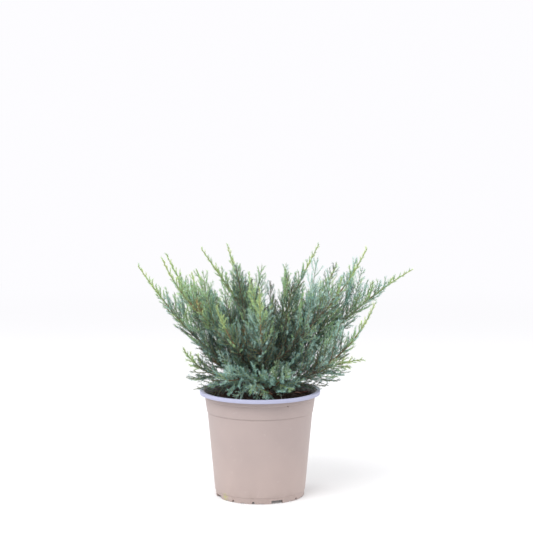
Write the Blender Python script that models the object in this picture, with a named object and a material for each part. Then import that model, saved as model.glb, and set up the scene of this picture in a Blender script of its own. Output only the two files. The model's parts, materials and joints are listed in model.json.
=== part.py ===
"""A young creeping juniper in a round nursery pot.

The pot, its filling of potting soil, the short trunk, each bough and each mass of foliage is one
object. Lengths are metres and angles are degrees. The origin is the centre of the pot's underside,
+Z is up, and -Y is the front. Azimuth 0 points to +X and turns towards +Y.
"""

import math
import random
from collections import namedtuple

import bmesh
import bpy
import numpy as np
from mathutils import Matrix, Vector, geometry
from mathutils.bvhtree import BVHTree

# Space between neighbouring solids
GAP = 0.0003

# Pot
POT_SIDES = 36
WALL = 0.0016
RIM_TOP = 0.1675
RIM_RADIUS = 0.095
RIM_DROP = 0.0058
MOUTH_RADIUS = 0.0898
THROAT_HEIGHT = 0.1600
RING_HEIGHT = 0.155
RING_RADIUS = 0.0866
SHOULDER_HEIGHT = 0.134
SHOULDER_RADIUS = 0.0838
SHOULDER_STEP = 0.0010
WALL_FOOT_HEIGHT = 0.0095
WALL_FOOT_RADIUS = 0.0712
FOOT_RADIUS = 0.0698
FOOT_WIDTH = 0.0050
PAD_RADIUS = 0.034
DRAIN_HEIGHT = 0.0052
FLOOR = 0.0020
QUARTERS = 4
FIRST_NOTCH = 22.5
WIDE_NOTCH = (0.019, 0.0052)
ARCH_NOTCH = (0.0042, 0.0040)
ARCH_TURNS = (31.0, 59.0)

# Potting soil
SOIL_TOP = 0.158
SOIL_BUMP = 0.0016
SOIL_EDGE = 0.0030
SOIL_FLAT_RADIUS = 0.019

# Trunk: fraction of its height and radius there
TRUNK_FOOT = Vector((0.004, 0.003, SOIL_TOP + GAP))
TRUNK_TIP = Vector((0.000, 0.007, SOIL_TOP + 0.040))
TRUNK_SIDES = 10
TRUNK_RADII = ((0.0, 0.0150), (0.10, 0.0112), (0.26, 0.0092), (0.60, 0.0078), (0.82, 0.0060), (1.0, 0.0030))
ROOT_LOBES = 5
LOBE_DEPTH = 0.16

# Limbs
BOUGH_SIDES = 5
BOUGH_STEPS = 4
STEM_SIDES = 5
TIP_RADIUS = 0.0007
AXIS_POINTS = 64
START_STEP = 0.0001
HANDLE = 0.38

# Foliage: sprays along a limb. Turns are measured from its side over its upper side
NODE_STEP = 0.0128
FAN = 250.0
FAN_FOOT = -35.0
GOLDEN_TURN = 137.5
TWIG_ANGLE = 46.0
ANGLE_SPREAD = (0.85, 1.1)
SPRAY_LIFT = 0.22
TIP_SPRAY = 0.008
PLUME_SPREAD = 0.46
LENGTH_SPREAD = (0.88, 1.1)
LEADER_SPRAY = 0.020
LEADER_PLACE = 0.93
STEM_END = 0.97
STEM_STEPS = 6

# Long twigs near the foot of the leafy stretch, with the share of their length that their sprays have
LONG_TWIGS = 2
TWIG_SHARE = 0.6
TWIG_SPRAY = 0.66
TWIG_LIFT = 0.35
TWIG_RADIUS = 0.0011
SIDE_AIM = 0.9

# Toothed blades: teeth and ridge as shares of the length, and of the half width
BLADE_WIDTH = 0.38
BLADE_THICKNESS = 0.0038
THICKNESS_SHARE = 0.09
BLADE_SINK = 0.0012
RIDGE_PLACE = 0.45
TOOTH_LENGTH = 0.0150
MOST_TEETH = 3
FIRST_TOOTH = 0.08
TOOTHED = 0.78
TOOTH_TAPER = 0.62
NOTCH_STEP = 0.10
NOTCH_WIDTH = 0.28

# Room that each mass keeps to
SPACE_GAP = 0.0009
BOUGH_GAP = 0.0012
RIM_GAP = 0.0012
SOIL_GAP = 0.0035
SHORTER = (1.0, 0.8, 0.62, 0.46)
LEAST_BLADE = 0.011
MOST_DROPPED = 0.02

Limb = namedtuple(
    "Limb", "name parent fork azimuth swing reach height rise tip_rise leafy twig radius"
)

# name, what carries it, how far up that, azimuth of the tip, turn from there to the azimuth of the foot,
# reach and height of the tip in mm, rise at the foot and at the tip, share of its length where foliage
# starts, longest twig and foot radius in mm
LIMBS = [
    Limb("left_outer", "trunk", 0.26, 183, 8, 190, 364, 33, 56, 0.19, 84, 3.0),
    Limb("left_front", "trunk", 0.66, 207, 12, 166, 382, 52, 66, 0.19, 88, 3.0),
    Limb("front_left", "trunk", 0.42, 240, -4, 130, 312, 44, 56, 0.19, 80, 2.8),
    Limb("front_centre", "trunk", 0.22, 270, 2, 136, 344, 44, 62, 0.17, 86, 3.0),
    Limb("front_right", "trunk", 0.52, 345, -18, 170, 394, 50, 64, 0.20, 86, 3.0),
    Limb("right_outer", "trunk", 0.36, 3, 8, 240, 356, 30, 30, 0.17, 92, 3.2),
    Limb("right_lower", "trunk", 0.16, 333, 0, 196, 316, 16, 66, 0.14, 78, 2.8),
    Limb("back_right", "trunk", 0.48, 48, 0, 190, 350, 46, 48, 0.17, 90, 3.0),
    Limb("back_centre", "trunk", 0.22, 96, 0, 186, 334, 42, 50, 0.17, 88, 3.0),
    Limb("back_left", "trunk", 0.48, 150, -6, 176, 374, 48, 62, 0.19, 90, 3.0),
    Limb("crown_left", "trunk", 0.60, 209, 70, 102, 394, 66, 54, 0.22, 76, 2.4),
    Limb("crown_right", "trunk", 0.66, 28, 20, 106, 392, 62, 58, 0.22, 80, 2.4),
    Limb("crown_back", "trunk", 1.0, 125, 20, 92, 390, 84, 64, 0.18, 78, 2.8),
    Limb("low_left", "left_outer", 0.09, 197, 16, 124, 238, 6, 62, 0.12, 74, 2.0),
    Limb("low_front_left", "front_left", 0.11, 232, 0, 100, 206, 12, 48, 0.12, 66, 2.0),
    Limb("low_front", "front_centre", 0.10, 262, -8, 92, 184, 8, -8, 0.12, 62, 2.0),
    Limb("low_front_right", "trunk", 0.12, 300, 0, 92, 208, 14, 30, 0.14, 70, 2.2),
    Limb("low_right", "right_lower", 0.10, 348, 20, 164, 220, 12, 6, 0.12, 72, 2.0),
    Limb("low_back_right", "back_right", 0.12, 66, 12, 136, 226, 10, 48, 0.12, 74, 2.0),
    Limb("low_back_left", "back_left", 0.12, 124, -20, 136, 230, 10, 48, 0.12, 74, 2.0),
]

MM = 0.001
UP = Vector((0.0, 0.0, 1.0))


def clear_scene():
    for ob in list(bpy.data.objects):
        bpy.data.objects.remove(ob, do_unlink=True)


def material(name, colour, roughness, metallic=0.0):
    mat = bpy.data.materials.new(name)
    mat.use_nodes = True
    shader = mat.node_tree.nodes["Principled BSDF"]
    shader.inputs["Base Color"].default_value = (*colour, 1.0)
    shader.inputs["Roughness"].default_value = roughness
    shader.inputs["Metallic"].default_value = metallic
    return mat


def make_object(name, bm, mat, parent=None):
    mesh = bpy.data.meshes.new(name)
    bm.to_mesh(mesh)
    bm.free()
    mesh.materials.append(mat)
    ob = bpy.data.objects.new(name, mesh)
    bpy.context.scene.collection.objects.link(ob)
    ob.parent = parent
    return ob


def direction(azimuth, rise):
    a, e = math.radians(azimuth), math.radians(rise)
    return Vector((math.cos(a) * math.cos(e), math.sin(a) * math.cos(e), math.sin(e)))


# Pot and soil


def pot_profile():
    """Outer and inner outline of the pot's wall, from the middle of its underside round the rim."""
    outer = [
        (0.0, 0.0),
        (PAD_RADIUS, 0.0),
        (PAD_RADIUS + 0.003, DRAIN_HEIGHT),
        (FOOT_RADIUS - FOOT_WIDTH, DRAIN_HEIGHT),
        (FOOT_RADIUS - FOOT_WIDTH, 0.0),
        (FOOT_RADIUS, 0.0),
        (FOOT_RADIUS + 0.0006, WALL_FOOT_HEIGHT - 0.0008),
        (WALL_FOOT_RADIUS, WALL_FOOT_HEIGHT),
        (SHOULDER_RADIUS - SHOULDER_STEP, SHOULDER_HEIGHT),
        (SHOULDER_RADIUS, SHOULDER_HEIGHT + 0.0008),
        (RING_RADIUS, RING_HEIGHT),
        (RING_RADIUS, RIM_TOP - RIM_DROP + 0.0008),
        (RIM_RADIUS, RIM_TOP - RIM_DROP),
        (RIM_RADIUS, RIM_TOP - 0.0014),
        (RIM_RADIUS - 0.0012, RIM_TOP),
    ]
    inner = [
        (MOUTH_RADIUS, RIM_TOP - 0.0004),
        (inside_radius(THROAT_HEIGHT), THROAT_HEIGHT),
        (inside_radius(WALL_FOOT_HEIGHT), WALL_FOOT_HEIGHT),
        (inside_radius(WALL_FOOT_HEIGHT) - 0.0010, DRAIN_HEIGHT + FLOOR),
        (PAD_RADIUS + 0.0010, DRAIN_HEIGHT + FLOOR),
        (PAD_RADIUS - 0.0015, FLOOR),
        (0.0, FLOOR),
    ]
    return outer + inner


def inside_radius(height):
    """Inner radius of the wall, one straight taper from the foot to the throat below the rim."""
    foot, top = WALL_FOOT_RADIUS - WALL, SHOULDER_RADIUS - SHOULDER_STEP - WALL
    return foot + (top - foot) * (height - WALL_FOOT_HEIGHT) / (SHOULDER_HEIGHT - WALL_FOOT_HEIGHT)


def turned(profile, sides, bm):
    """Turns an outline that starts and ends on the Z axis into one closed skin."""
    rings = []
    for radius, height in profile:
        if radius == 0.0:
            rings.append([bm.verts.new((0.0, 0.0, height))])
            continue
        turns = (2.0 * math.pi * i / sides for i in range(sides))
        rings.append([bm.verts.new((radius * math.cos(t), radius * math.sin(t), height)) for t in turns])
    for low, high in zip(rings, rings[1:]):
        for i in range(sides):
            j = (i + 1) % sides
            corners = [low[i % len(low)], low[j % len(low)], high[j % len(high)], high[i % len(high)]]
            bm.faces.new(list(dict.fromkeys(corners)))
    bmesh.ops.recalc_face_normals(bm, faces=bm.faces)
    return rings


def notch_cutter(bm, azimuth, width, height):
    """A block that cuts one drain notch through the foot."""
    length = FOOT_WIDTH * 2.0
    turn = Matrix.Rotation(math.radians(azimuth), 4, "Z")
    place = Matrix.Translation((FOOT_RADIUS - FOOT_WIDTH * 0.5, 0.0, 0.0))
    size = Matrix.Diagonal((length, width, height * 2.0, 1.0))
    bmesh.ops.create_cube(bm, size=1.0, matrix=turn @ place @ size)


def make_pot(mat, root):
    bm = bmesh.new()
    turned(pot_profile(), POT_SIDES, bm)
    pot = make_object("pot", bm, mat, root)
    bm = bmesh.new()
    for quarter in range(QUARTERS):
        start = FIRST_NOTCH + 360.0 / QUARTERS * quarter
        notch_cutter(bm, start, *WIDE_NOTCH)
        for turn in ARCH_TURNS:
            notch_cutter(bm, start + turn, *ARCH_NOTCH)
    cutter = make_object("drain_notches", bm, mat, root)
    cutter.hide_render = True
    cutter.display_type = "WIRE"
    cut = pot.modifiers.new("drain notches", "BOOLEAN")
    cut.operation = "DIFFERENCE"
    cut.solver = "EXACT"
    cut.object = cutter
    shade_round(pot)
    return pot


def shade_round(ob, angle=40.0):
    ob.data.shade_smooth()
    ob.data.set_sharp_from_angle(angle=math.radians(angle))


def make_soil(mat, root):
    """Fills the pot, with a low uneven top that is flat under the trunk."""
    rnd = random.Random(5)
    foot, top = (inside_radius(z) - GAP for z in (WALL_FOOT_HEIGHT, SOIL_TOP - SOIL_EDGE))
    profile = [
        (0.0, FLOOR + GAP),
        (PAD_RADIUS - 0.0022, FLOOR + GAP),
        (PAD_RADIUS + 0.0004, DRAIN_HEIGHT + FLOOR + GAP),
        (foot - 0.0012, DRAIN_HEIGHT + FLOOR + GAP),
        (foot, WALL_FOOT_HEIGHT + GAP),
        (top, SOIL_TOP - SOIL_EDGE),
        (top * 0.84, SOIL_TOP),
        (top * 0.52, SOIL_TOP),
        (SOIL_FLAT_RADIUS, SOIL_TOP),
        (0.0, SOIL_TOP),
    ]
    bm = bmesh.new()
    rings = turned(profile, POT_SIDES, bm)
    for ring in rings[6:8]:
        for vert in ring:
            vert.co.z += rnd.uniform(-SOIL_BUMP, SOIL_BUMP)
    soil = make_object("soil", bm, mat, root)
    shade_round(soil, 60.0)
    return soil


# Limbs


class Axis:
    """The middle line of a limb or trunk, with its radius along it."""

    def __init__(self, points, radius_at):
        self.points = points
        self.radius = radius_at
        steps = [0.0]
        for a, b in zip(points, points[1:]):
            steps.append(steps[-1] + (b - a).length)
        self.length = steps[-1]
        self.shares = np.array(steps) / self.length
        self.line = np.array([tuple(p) for p in points])
        self.radii = np.array([radius_at(s) for s in self.shares])

    def at(self, share):
        share = min(1.0, max(0.0, share))
        i = max(1, int(np.searchsorted(self.shares, share)))
        low, high = self.shares[i - 1], self.shares[i]
        return self.points[i - 1].lerp(self.points[i], float((share - low) / (high - low)))

    def tangent(self, share):
        step = 0.5 / AXIS_POINTS
        return (self.at(share + step) - self.at(share - step)).normalized()

    def gaps(self, tests, end=1.0):
        """Each point's distance from the line, up to a share of it, and from the skin round that."""
        count = max(2, int(np.searchsorted(self.shares, end, side="right")))
        start, stop = self.line[: count - 1], self.line[1:count]
        run = stop - start
        along = ((tests[:, None] - start) * run).sum(2) / (run * run).sum(1)
        along = np.clip(along, 0.0, 1.0)
        nearest = start + along[:, :, None] * run
        apart = np.linalg.norm(tests[:, None] - nearest, axis=2)
        radii = self.radii[: count - 1] * (1.0 - along) + self.radii[1:count] * along
        return apart.min(1), (apart - radii).min(1)


def trunk_axis():
    points = [TRUNK_FOOT.lerp(TRUNK_TIP, i / AXIS_POINTS) for i in range(AXIS_POINTS + 1)]
    shares, radii = zip(*TRUNK_RADII)
    return Axis(points, lambda share: float(np.interp(share, shares, radii)))


def limb_axis(limb, carrier):
    """One smooth curve from the carrier's middle line to the limb's tip."""
    foot = carrier.at(limb.fork)
    reach = direction(limb.azimuth, 0.0) * limb.reach * MM
    tip = Vector((reach.x, reach.y, limb.height * MM))
    handle = (tip - foot).length * HANDLE
    first = foot + direction(limb.azimuth + limb.swing, limb.rise) * handle
    last = tip - direction(limb.azimuth, limb.tip_rise) * handle
    points = geometry.interpolate_bezier(foot, first, last, tip, AXIS_POINTS + 1)
    foot_radius = limb.radius * MM
    return Axis(points, lambda share: TIP_RADIUS + (foot_radius - TIP_RADIUS) * (1.0 - share) ** 0.85)


def cross_frame(tangent):
    """Side and upper directions square to a tangent."""
    side = tangent.cross(UP)
    if side.length < 0.05:
        side = Vector((1.0, 0.0, 0.0)) - tangent * tangent.x
    side.normalize()
    return side, side.cross(tangent)


def ring_points(centre, tangent, radius, sides, lobes=0.0):
    side, up = cross_frame(tangent)
    found = []
    for i in range(sides):
        turn = 2.0 * math.pi * i / sides
        reach = radius * (1.0 + lobes * math.cos(ROOT_LOBES * turn))
        found.append(centre + side * reach * math.cos(turn) + up * reach * math.sin(turn))
    return found


def tube(bm, rings, pointed):
    """Joins rings of points into a closed skin; a pointed one ends in one last point."""
    loops = [[bm.verts.new(p) for p in ring] for ring in rings]
    sides = len(loops[0])
    for low, high in zip(loops, loops[1:]):
        for i in range(sides):
            j = (i + 1) % sides
            corners = [low[i], low[j], high[j % len(high)], high[i % len(high)]]
            bm.faces.new(list(dict.fromkeys(corners)))
    bm.faces.new(list(reversed(loops[0])))
    if not pointed:
        bm.faces.new(loops[-1])
    bmesh.ops.triangulate(bm, faces=bm.faces)
    bmesh.ops.recalc_face_normals(bm, faces=bm.faces)


def limb_rings(axis, start, end, steps, sides):
    rings = []
    for i in range(steps + 1):
        share = start + (end - start) * i / steps
        rings.append(ring_points(axis.at(share), axis.tangent(share), axis.radius(share), sides))
    return rings


def is_clear(points, skin):
    for point in points:
        nearest, normal, _, distance = skin.find_nearest(point)
        if distance < GAP or (point - nearest).dot(normal) < 0.0:
            return False
    return True


def clear_start(axis, carrier):
    """The first share of a limb where its whole end face is clear of what carries it."""
    mesh = carrier.data
    skin = BVHTree.FromPolygons([v.co for v in mesh.vertices], [p.vertices for p in mesh.polygons])
    share = 0.0
    while share < 0.5:
        centre = axis.at(share)
        ring = ring_points(centre, axis.tangent(share), axis.radius(share), BOUGH_SIDES)
        middles = [a.lerp(b, 0.5) for a, b in zip(ring, ring[1:] + ring[:1])]
        if is_clear([centre, *ring, *middles], skin):
            return share
        share += START_STEP / axis.length
    raise ValueError("a limb never clears what carries it")


def make_trunk(axis, mat, root):
    bm = bmesh.new()
    rings = []
    for share, radius in TRUNK_RADII:
        lobes = LOBE_DEPTH * max(0.0, 1.0 - share / 0.2)
        rings.append(ring_points(axis.at(share), UP, radius, TRUNK_SIDES, lobes))
    tube(bm, rings, pointed=False)
    trunk = make_object("trunk", bm, mat, root)
    shade_round(trunk)
    return trunk


def make_bough(limb, axis, start, mat, root):
    bm = bmesh.new()
    tube(bm, limb_rings(axis, start, limb.leafy, BOUGH_STEPS, BOUGH_SIDES), pointed=False)
    bough = make_object(f"bough_{limb.name}", bm, mat, root)
    shade_round(bough, 70.0)
    return bough


# Foliage


class Space:
    """Tells which points are a mass's own: nearest its own limb, and clear of everything solid."""

    def __init__(self, axes, trunk):
        self.axes = axes
        self.trunk = trunk

    def keeps(self, limb, tests):
        tests = np.array([tuple(p) for p in tests])
        own = self.axes[limb.name]
        mine, _ = own.gaps(tests)
        _, from_bough = own.gaps(tests, limb.leafy)
        if from_bough.min() < BOUGH_GAP or self.trunk.gaps(tests)[1].min() < BOUGH_GAP:
            return False
        for name, axis in self.axes.items():
            if name != limb.name:
                line, skin = axis.gaps(tests)
                if (line < mine + SPACE_GAP).any() or skin.min() < BOUGH_GAP:
                    return False
        across, high = np.hypot(tests[:, 0], tests[:, 1]), tests[:, 2]
        over_soil = (across < MOUTH_RADIUS - SOIL_GAP) & (high > SOIL_TOP + SOIL_GAP)
        over_rim = high > RIM_TOP + RIM_GAP
        beside_rim = (across > RIM_RADIUS + RIM_GAP) & (high > SOIL_TOP - SOIL_GAP)
        return bool((over_soil | over_rim | beside_rim).all())


Spray = namedtuple("Spray", "foot along across length")


def blade_outline(spray):
    """Points of a toothed blade: foot, tip, the two ridge points and the teeth of either side."""
    half = spray.length * BLADE_WIDTH * 0.5
    lift = spray.along.cross(spray.across)
    thick = min(BLADE_THICKNESS, spray.length * THICKNESS_SHARE) * 0.5
    foot = spray.foot - spray.along * BLADE_SINK
    tip = spray.foot + spray.along * spray.length
    ridge = spray.foot + spray.along * spray.length * RIDGE_PLACE
    count = min(MOST_TEETH, max(2, round(spray.length / TOOTH_LENGTH)))
    step = TOOTHED / count
    teeth = []
    for sign in (1.0, -1.0):
        row = []
        for i in range(count):
            out = FIRST_TOOTH + step * (i + 1)
            width = 1.0 - TOOTH_TAPER * (i / count) ** 1.4
            row.append((out, width))
            row.append((out + step * NOTCH_STEP, width * NOTCH_WIDTH))
        teeth.append([
            spray.foot + spray.along * spray.length * out + spray.across * half * width * sign
            for out, width in row
        ])
    return foot, tip, ridge + lift * thick, ridge - lift * thick, teeth


def blade(bm, spray):
    foot, tip, upper, lower, teeth = blade_outline(spray)
    foot, tip, upper, lower = (bm.verts.new(p) for p in (foot, tip, upper, lower))
    right, left = ([bm.verts.new(p) for p in row] for row in teeth)
    edge = [foot, *right, tip, *reversed(left)]
    for a, b in zip(edge, edge[1:] + edge[:1]):
        bm.faces.new((a, b, upper))
        bm.faces.new((b, a, lower))
    bmesh.ops.recalc_face_normals(bm, faces=bm.faces)


def spray_length(limb, from_tip):
    """Sprays grow longer with their distance from the limb's tip, so that it is a pointed plume."""
    return min(limb.twig * MM, TIP_SPRAY + PLUME_SPREAD * from_tip)


def twig_direction(tangent, turn, angle):
    side, up = cross_frame(tangent)
    outward = side * math.cos(math.radians(turn)) + up * math.sin(math.radians(turn))
    a = math.radians(angle)
    return (tangent * math.cos(a) + outward * math.sin(a)).normalized(), outward


class Mass:
    """Grows one mass of foliage along the leafy stretch of a limb."""

    def __init__(self, limb, axis, space, seed):
        self.limb = limb
        self.axis = axis
        self.space = space
        self.rnd = random.Random(seed)
        self.sprays = []
        self.twigs = []

    def fits(self, tests):
        return self.space.keeps(self.limb, tests)

    def add_spray(self, foot, along, across, length):
        """Keeps a spray at the greatest of a few lengths that stays in this mass's own space."""
        across = (across - along * across.dot(along)).normalized()
        for share in SHORTER:
            spray = Spray(foot, along, across, length * share)
            if spray.length < LEAST_BLADE:
                return
            start, tip, upper, lower, teeth = blade_outline(spray)
            spine = [start.lerp(tip, 0.2), start.lerp(tip, 0.7), tip]
            if self.fits([*spine, upper, lower, *teeth[0], *teeth[1]]):
                self.sprays.append(spray)
                return

    def add_twig(self, foot, along, outward, length):
        """A long twig, bent upwards, with one spray at its side and one at its tip."""
        for share in SHORTER:
            size = length * share * TWIG_SHARE
            bend = (along + UP * TWIG_LIFT).normalized()
            middle = foot + along * size * 0.5
            tip = middle + bend * size * 0.5
            if self.fits([middle, tip]):
                break
        else:
            return
        self.twigs.append((foot, middle, tip))
        across = outward.cross(along)
        self.add_spray(tip - bend * BLADE_SINK, bend, across, length * share * TWIG_SPRAY)
        aim = (bend + across * self.rnd.choice((-SIDE_AIM, SIDE_AIM))).normalized()
        self.add_spray(middle, aim, outward, length * share * TWIG_SPRAY)

    def grow(self):
        limb, axis = self.limb, self.axis
        nodes = max(4, round(axis.length * (1.0 - limb.leafy) / NODE_STEP))
        offset = self.rnd.uniform(0.0, FAN)
        for k in range(nodes):
            share = (k + 0.35) / nodes
            at = limb.leafy + (1.0 - limb.leafy) * share
            turn = FAN_FOOT + (offset + k * GOLDEN_TURN) % FAN
            angle = TWIG_ANGLE * self.rnd.uniform(*ANGLE_SPREAD)
            along, outward = twig_direction(axis.tangent(at), turn, angle)
            along = (along + UP * SPRAY_LIFT).normalized()
            length = spray_length(limb, (1.0 - at) * axis.length) * self.rnd.uniform(*LENGTH_SPREAD)
            if 1 <= k <= LONG_TWIGS and nodes > 7:
                self.add_twig(axis.at(at), along, outward, length)
            else:
                self.add_spray(axis.at(at), along, outward.cross(along), length)
        tangent = axis.tangent(LEADER_PLACE)
        side, _ = cross_frame(tangent)
        self.add_spray(axis.at(LEADER_PLACE), tangent, side, LEADER_SPRAY)


def island_volumes(bm):
    """Lists the separate skins in a mesh, each with its signed volume."""
    left, found = set(bm.faces), []
    while left:
        stack, island = [left.pop()], []
        while stack:
            face = stack.pop()
            island.append(face)
            for edge in face.edges:
                for near in edge.link_faces:
                    if near in left:
                        left.remove(near)
                        stack.append(near)
        volume = 0.0
        for face in island:
            a, b, c = (v.co for v in face.verts)
            volume += a.dot(b.cross(c)) / 6.0
        found.append((volume, island))
    return sorted(found, key=lambda pair: pair[0])


def clean_skin(mesh):
    """Drops loose scraps and fills sealed hollows. True if one closed skin with nearly all is left."""
    bm = bmesh.new()
    bm.from_mesh(mesh)
    bmesh.ops.triangulate(bm, faces=bm.faces)
    *others, (whole, _) = island_volumes(bm)
    for _, island in others:
        bmesh.ops.delete(bm, geom=island, context="FACES")
    loose = [v for v in bm.verts if not v.link_faces]
    bmesh.ops.delete(bm, geom=loose, context="VERTS")
    closed = all(len(edge.link_faces) == 2 for edge in bm.edges)
    dropped = sum(abs(volume) for volume, _ in others)
    bm.to_mesh(mesh)
    bm.free()
    return closed and dropped < MOST_DROPPED * whole


def fuse(name, stem, pieces, mat, root):
    """Joins the stem with a collection of twigs and sprays in one union."""
    for solver in ("EXACT", "MANIFOLD"):
        group = bpy.data.collections.new(f"{name} pieces")
        bpy.context.scene.collection.children.link(group)
        for piece in pieces:
            bm = bmesh.new()
            piece(bm)
            ob = make_object("piece", bm, mat)
            bpy.context.scene.collection.objects.unlink(ob)
            group.objects.link(ob)
        bm = bmesh.new()
        stem(bm)
        whole = make_object(name, bm, mat, root)
        union = whole.modifiers.new("fuse", "BOOLEAN")
        union.operation = "UNION"
        union.operand_type = "COLLECTION"
        union.collection = group
        union.solver = solver
        bpy.context.view_layer.objects.active = whole
        bpy.ops.object.modifier_apply(modifier=union.name)
        for ob in list(group.objects):
            bpy.data.objects.remove(ob, do_unlink=True)
        bpy.data.collections.remove(group)
        if clean_skin(whole.data):
            return whole
        bpy.data.objects.remove(whole, do_unlink=True)
    return None


def make_mass(limb, axis, space, seed, mat, root):
    mass = Mass(limb, axis, space, seed)
    mass.grow()
    start = limb.leafy + GAP / axis.length

    def stem(bm):
        rings = limb_rings(axis, start, STEM_END, STEM_STEPS, STEM_SIDES)
        tube(bm, [*rings, [axis.at(1.0)]], pointed=True)

    pieces = []
    for foot, middle, tip in mass.twigs:
        rings = [
            ring_points(foot, (middle - foot).normalized(), TWIG_RADIUS, 3),
            ring_points(middle, (tip - foot).normalized(), TWIG_RADIUS * 0.8, 3),
            [tip],
        ]
        pieces.append(lambda bm, rings=rings: tube(bm, rings, pointed=True))
    for spray in mass.sprays:
        pieces.append(lambda bm, spray=spray: blade(bm, spray))
    while pieces:
        whole = fuse(f"mass_{limb.name}", stem, pieces, mat, root)
        if whole:
            return whole
        pieces = pieces[:-2]
    raise ValueError(f"{limb.name} can't be fused")


def main():
    clear_scene()
    root = bpy.data.objects.new("potted juniper", None)
    bpy.context.scene.collection.objects.link(root)
    plastic = material("taupe plastic", (0.52, 0.43, 0.39), 0.55)
    compost = material("potting soil", (0.035, 0.026, 0.024), 0.95)
    bark = material("orange-brown bark", (0.24, 0.11, 0.055), 0.85)
    foliage = material("blue-green foliage", (0.16, 0.23, 0.17), 0.7)
    make_pot(plastic, root)
    make_soil(compost, root)
    trunk = trunk_axis()
    lines, solids = {"trunk": trunk}, {"trunk": make_trunk(trunk, bark, root)}
    for limb in LIMBS:
        axis = limb_axis(limb, lines[limb.parent])
        start = clear_start(axis, solids[limb.parent])
        lines[limb.name] = axis
        solids[limb.name] = make_bough(limb, axis, start, bark, root)
    axes = {limb.name: lines[limb.name] for limb in LIMBS}
    space = Space(axes, trunk)
    for seed, limb in enumerate(LIMBS):
        make_mass(limb, axes[limb.name], space, seed, foliage, root)


main()
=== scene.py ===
"""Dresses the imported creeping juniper: its nursery pot, compost, bark, twigs and needles.

Lengths are metres and angles are degrees. +Z is up and -Y is the front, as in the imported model.
"""

import functools
import json
import math
import random
from collections import defaultdict, namedtuple

import bmesh
import bpy
import numpy as np
from mathutils import Matrix, Vector, geometry, noise

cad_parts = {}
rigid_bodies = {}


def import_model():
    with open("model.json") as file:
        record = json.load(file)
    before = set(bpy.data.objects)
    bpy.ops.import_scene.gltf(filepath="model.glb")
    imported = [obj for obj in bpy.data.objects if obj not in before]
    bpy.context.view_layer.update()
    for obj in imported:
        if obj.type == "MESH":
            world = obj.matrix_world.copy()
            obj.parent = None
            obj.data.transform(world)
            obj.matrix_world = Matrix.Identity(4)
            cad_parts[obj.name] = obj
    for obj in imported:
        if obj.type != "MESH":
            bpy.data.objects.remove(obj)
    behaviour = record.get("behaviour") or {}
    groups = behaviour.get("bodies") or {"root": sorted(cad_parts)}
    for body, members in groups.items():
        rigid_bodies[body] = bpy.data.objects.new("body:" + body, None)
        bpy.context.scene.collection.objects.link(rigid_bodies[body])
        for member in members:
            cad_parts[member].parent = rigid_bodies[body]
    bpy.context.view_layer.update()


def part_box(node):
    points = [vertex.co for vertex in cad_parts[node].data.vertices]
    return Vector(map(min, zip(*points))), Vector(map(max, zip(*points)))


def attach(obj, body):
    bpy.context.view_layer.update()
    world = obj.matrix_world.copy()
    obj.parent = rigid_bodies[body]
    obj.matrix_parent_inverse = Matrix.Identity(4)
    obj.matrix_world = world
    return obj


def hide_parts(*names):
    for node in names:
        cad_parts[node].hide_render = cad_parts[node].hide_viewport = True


bl_info = {
    "name": "Potted creeping juniper",
    "version": (1, 0, 0),
    "blender": (4, 5, 0),
    "location": "View3D > Sidebar > Juniper",
    "description": "Builds the pot, compost, bark, twigs and needles of a young creeping juniper",
    "category": "Object",
}

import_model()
POT_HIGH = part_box("pot")[1]

MM = 0.001
UP = Vector((0.0, 0.0, 1.0))

# Pot: heights and radii of its wall
RIM_TOP = POT_HIGH.z
RIM_RADIUS = POT_HIGH.x
RIM_DROP = 0.0058
RIM_EDGE = RIM_TOP - RIM_DROP
RIM_HOLLOW = 0.0040
RIM_ROUNDING = 0.0012
MOUTH_RADIUS = 0.0898
THROAT_HEIGHT = 0.1600
RING_HEIGHT = 0.155
RING_RADIUS = 0.0866
RING_GROOVE = 0.0004
SHOULDER_HEIGHT = 0.134
SHOULDER_RADIUS = 0.0838
SHOULDER_STEP = 0.0010
WALL_FOOT_HEIGHT = 0.0095
WALL_FOOT_RADIUS = 0.0712
FOOT_RADIUS = 0.0698
FOOT_WIDTH = 0.0050
PAD_RADIUS = 0.034
DRAIN_HEIGHT = 0.0052
FLOOR = 0.0020
WALL = 0.0016
EDGE_ROUNDING = 0.0006
SHARP_ANGLE = 38.0

# Drain notches, from the first wide one: turn, width, height and corner radius
QUARTERS = 4
FIRST_NOTCH = 22.5
NOTCHES = (
    (0.0, 0.0190, 0.0052, 0.0014),
    (20.0, 0.0060, 0.0013, 0.0005),
    (31.0, 0.0042, 0.0040, 0.0020),
    (45.0, 0.0060, 0.0013, 0.0005),
    (59.0, 0.0042, 0.0040, 0.0020),
    (70.0, 0.0060, 0.0013, 0.0005),
)

# Middle of the green mark on the foot
MARK_PLACE = (-0.0535, -0.0450, 0.006)

# Compost: heights, faces, the heap round the trunk, the slump at the wall and the waves of its lumps
SOIL_TOP = 0.158
SOIL_BASE = 0.146
SOIL_RINGS = 56
SOIL_SIDES = 150
HEAP_HEIGHT = 0.0016
HEAP_RADIUS = 0.030
SLUMP = 0.0024
SLUMP_START = 0.80
LUMP_WAVES = 60.0
FINE_WAVES = 420.0

# Crumbs and fibres: least and greatest radius of a crumb and half length of a fibre
CRUMB_SIZES = (0.0004, 0.0019)
FIBRE_SIZES = (0.0012, 0.0050)
SHAPES_OF_A_KIND = 5
FIBRE_SIDES = 3

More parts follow.
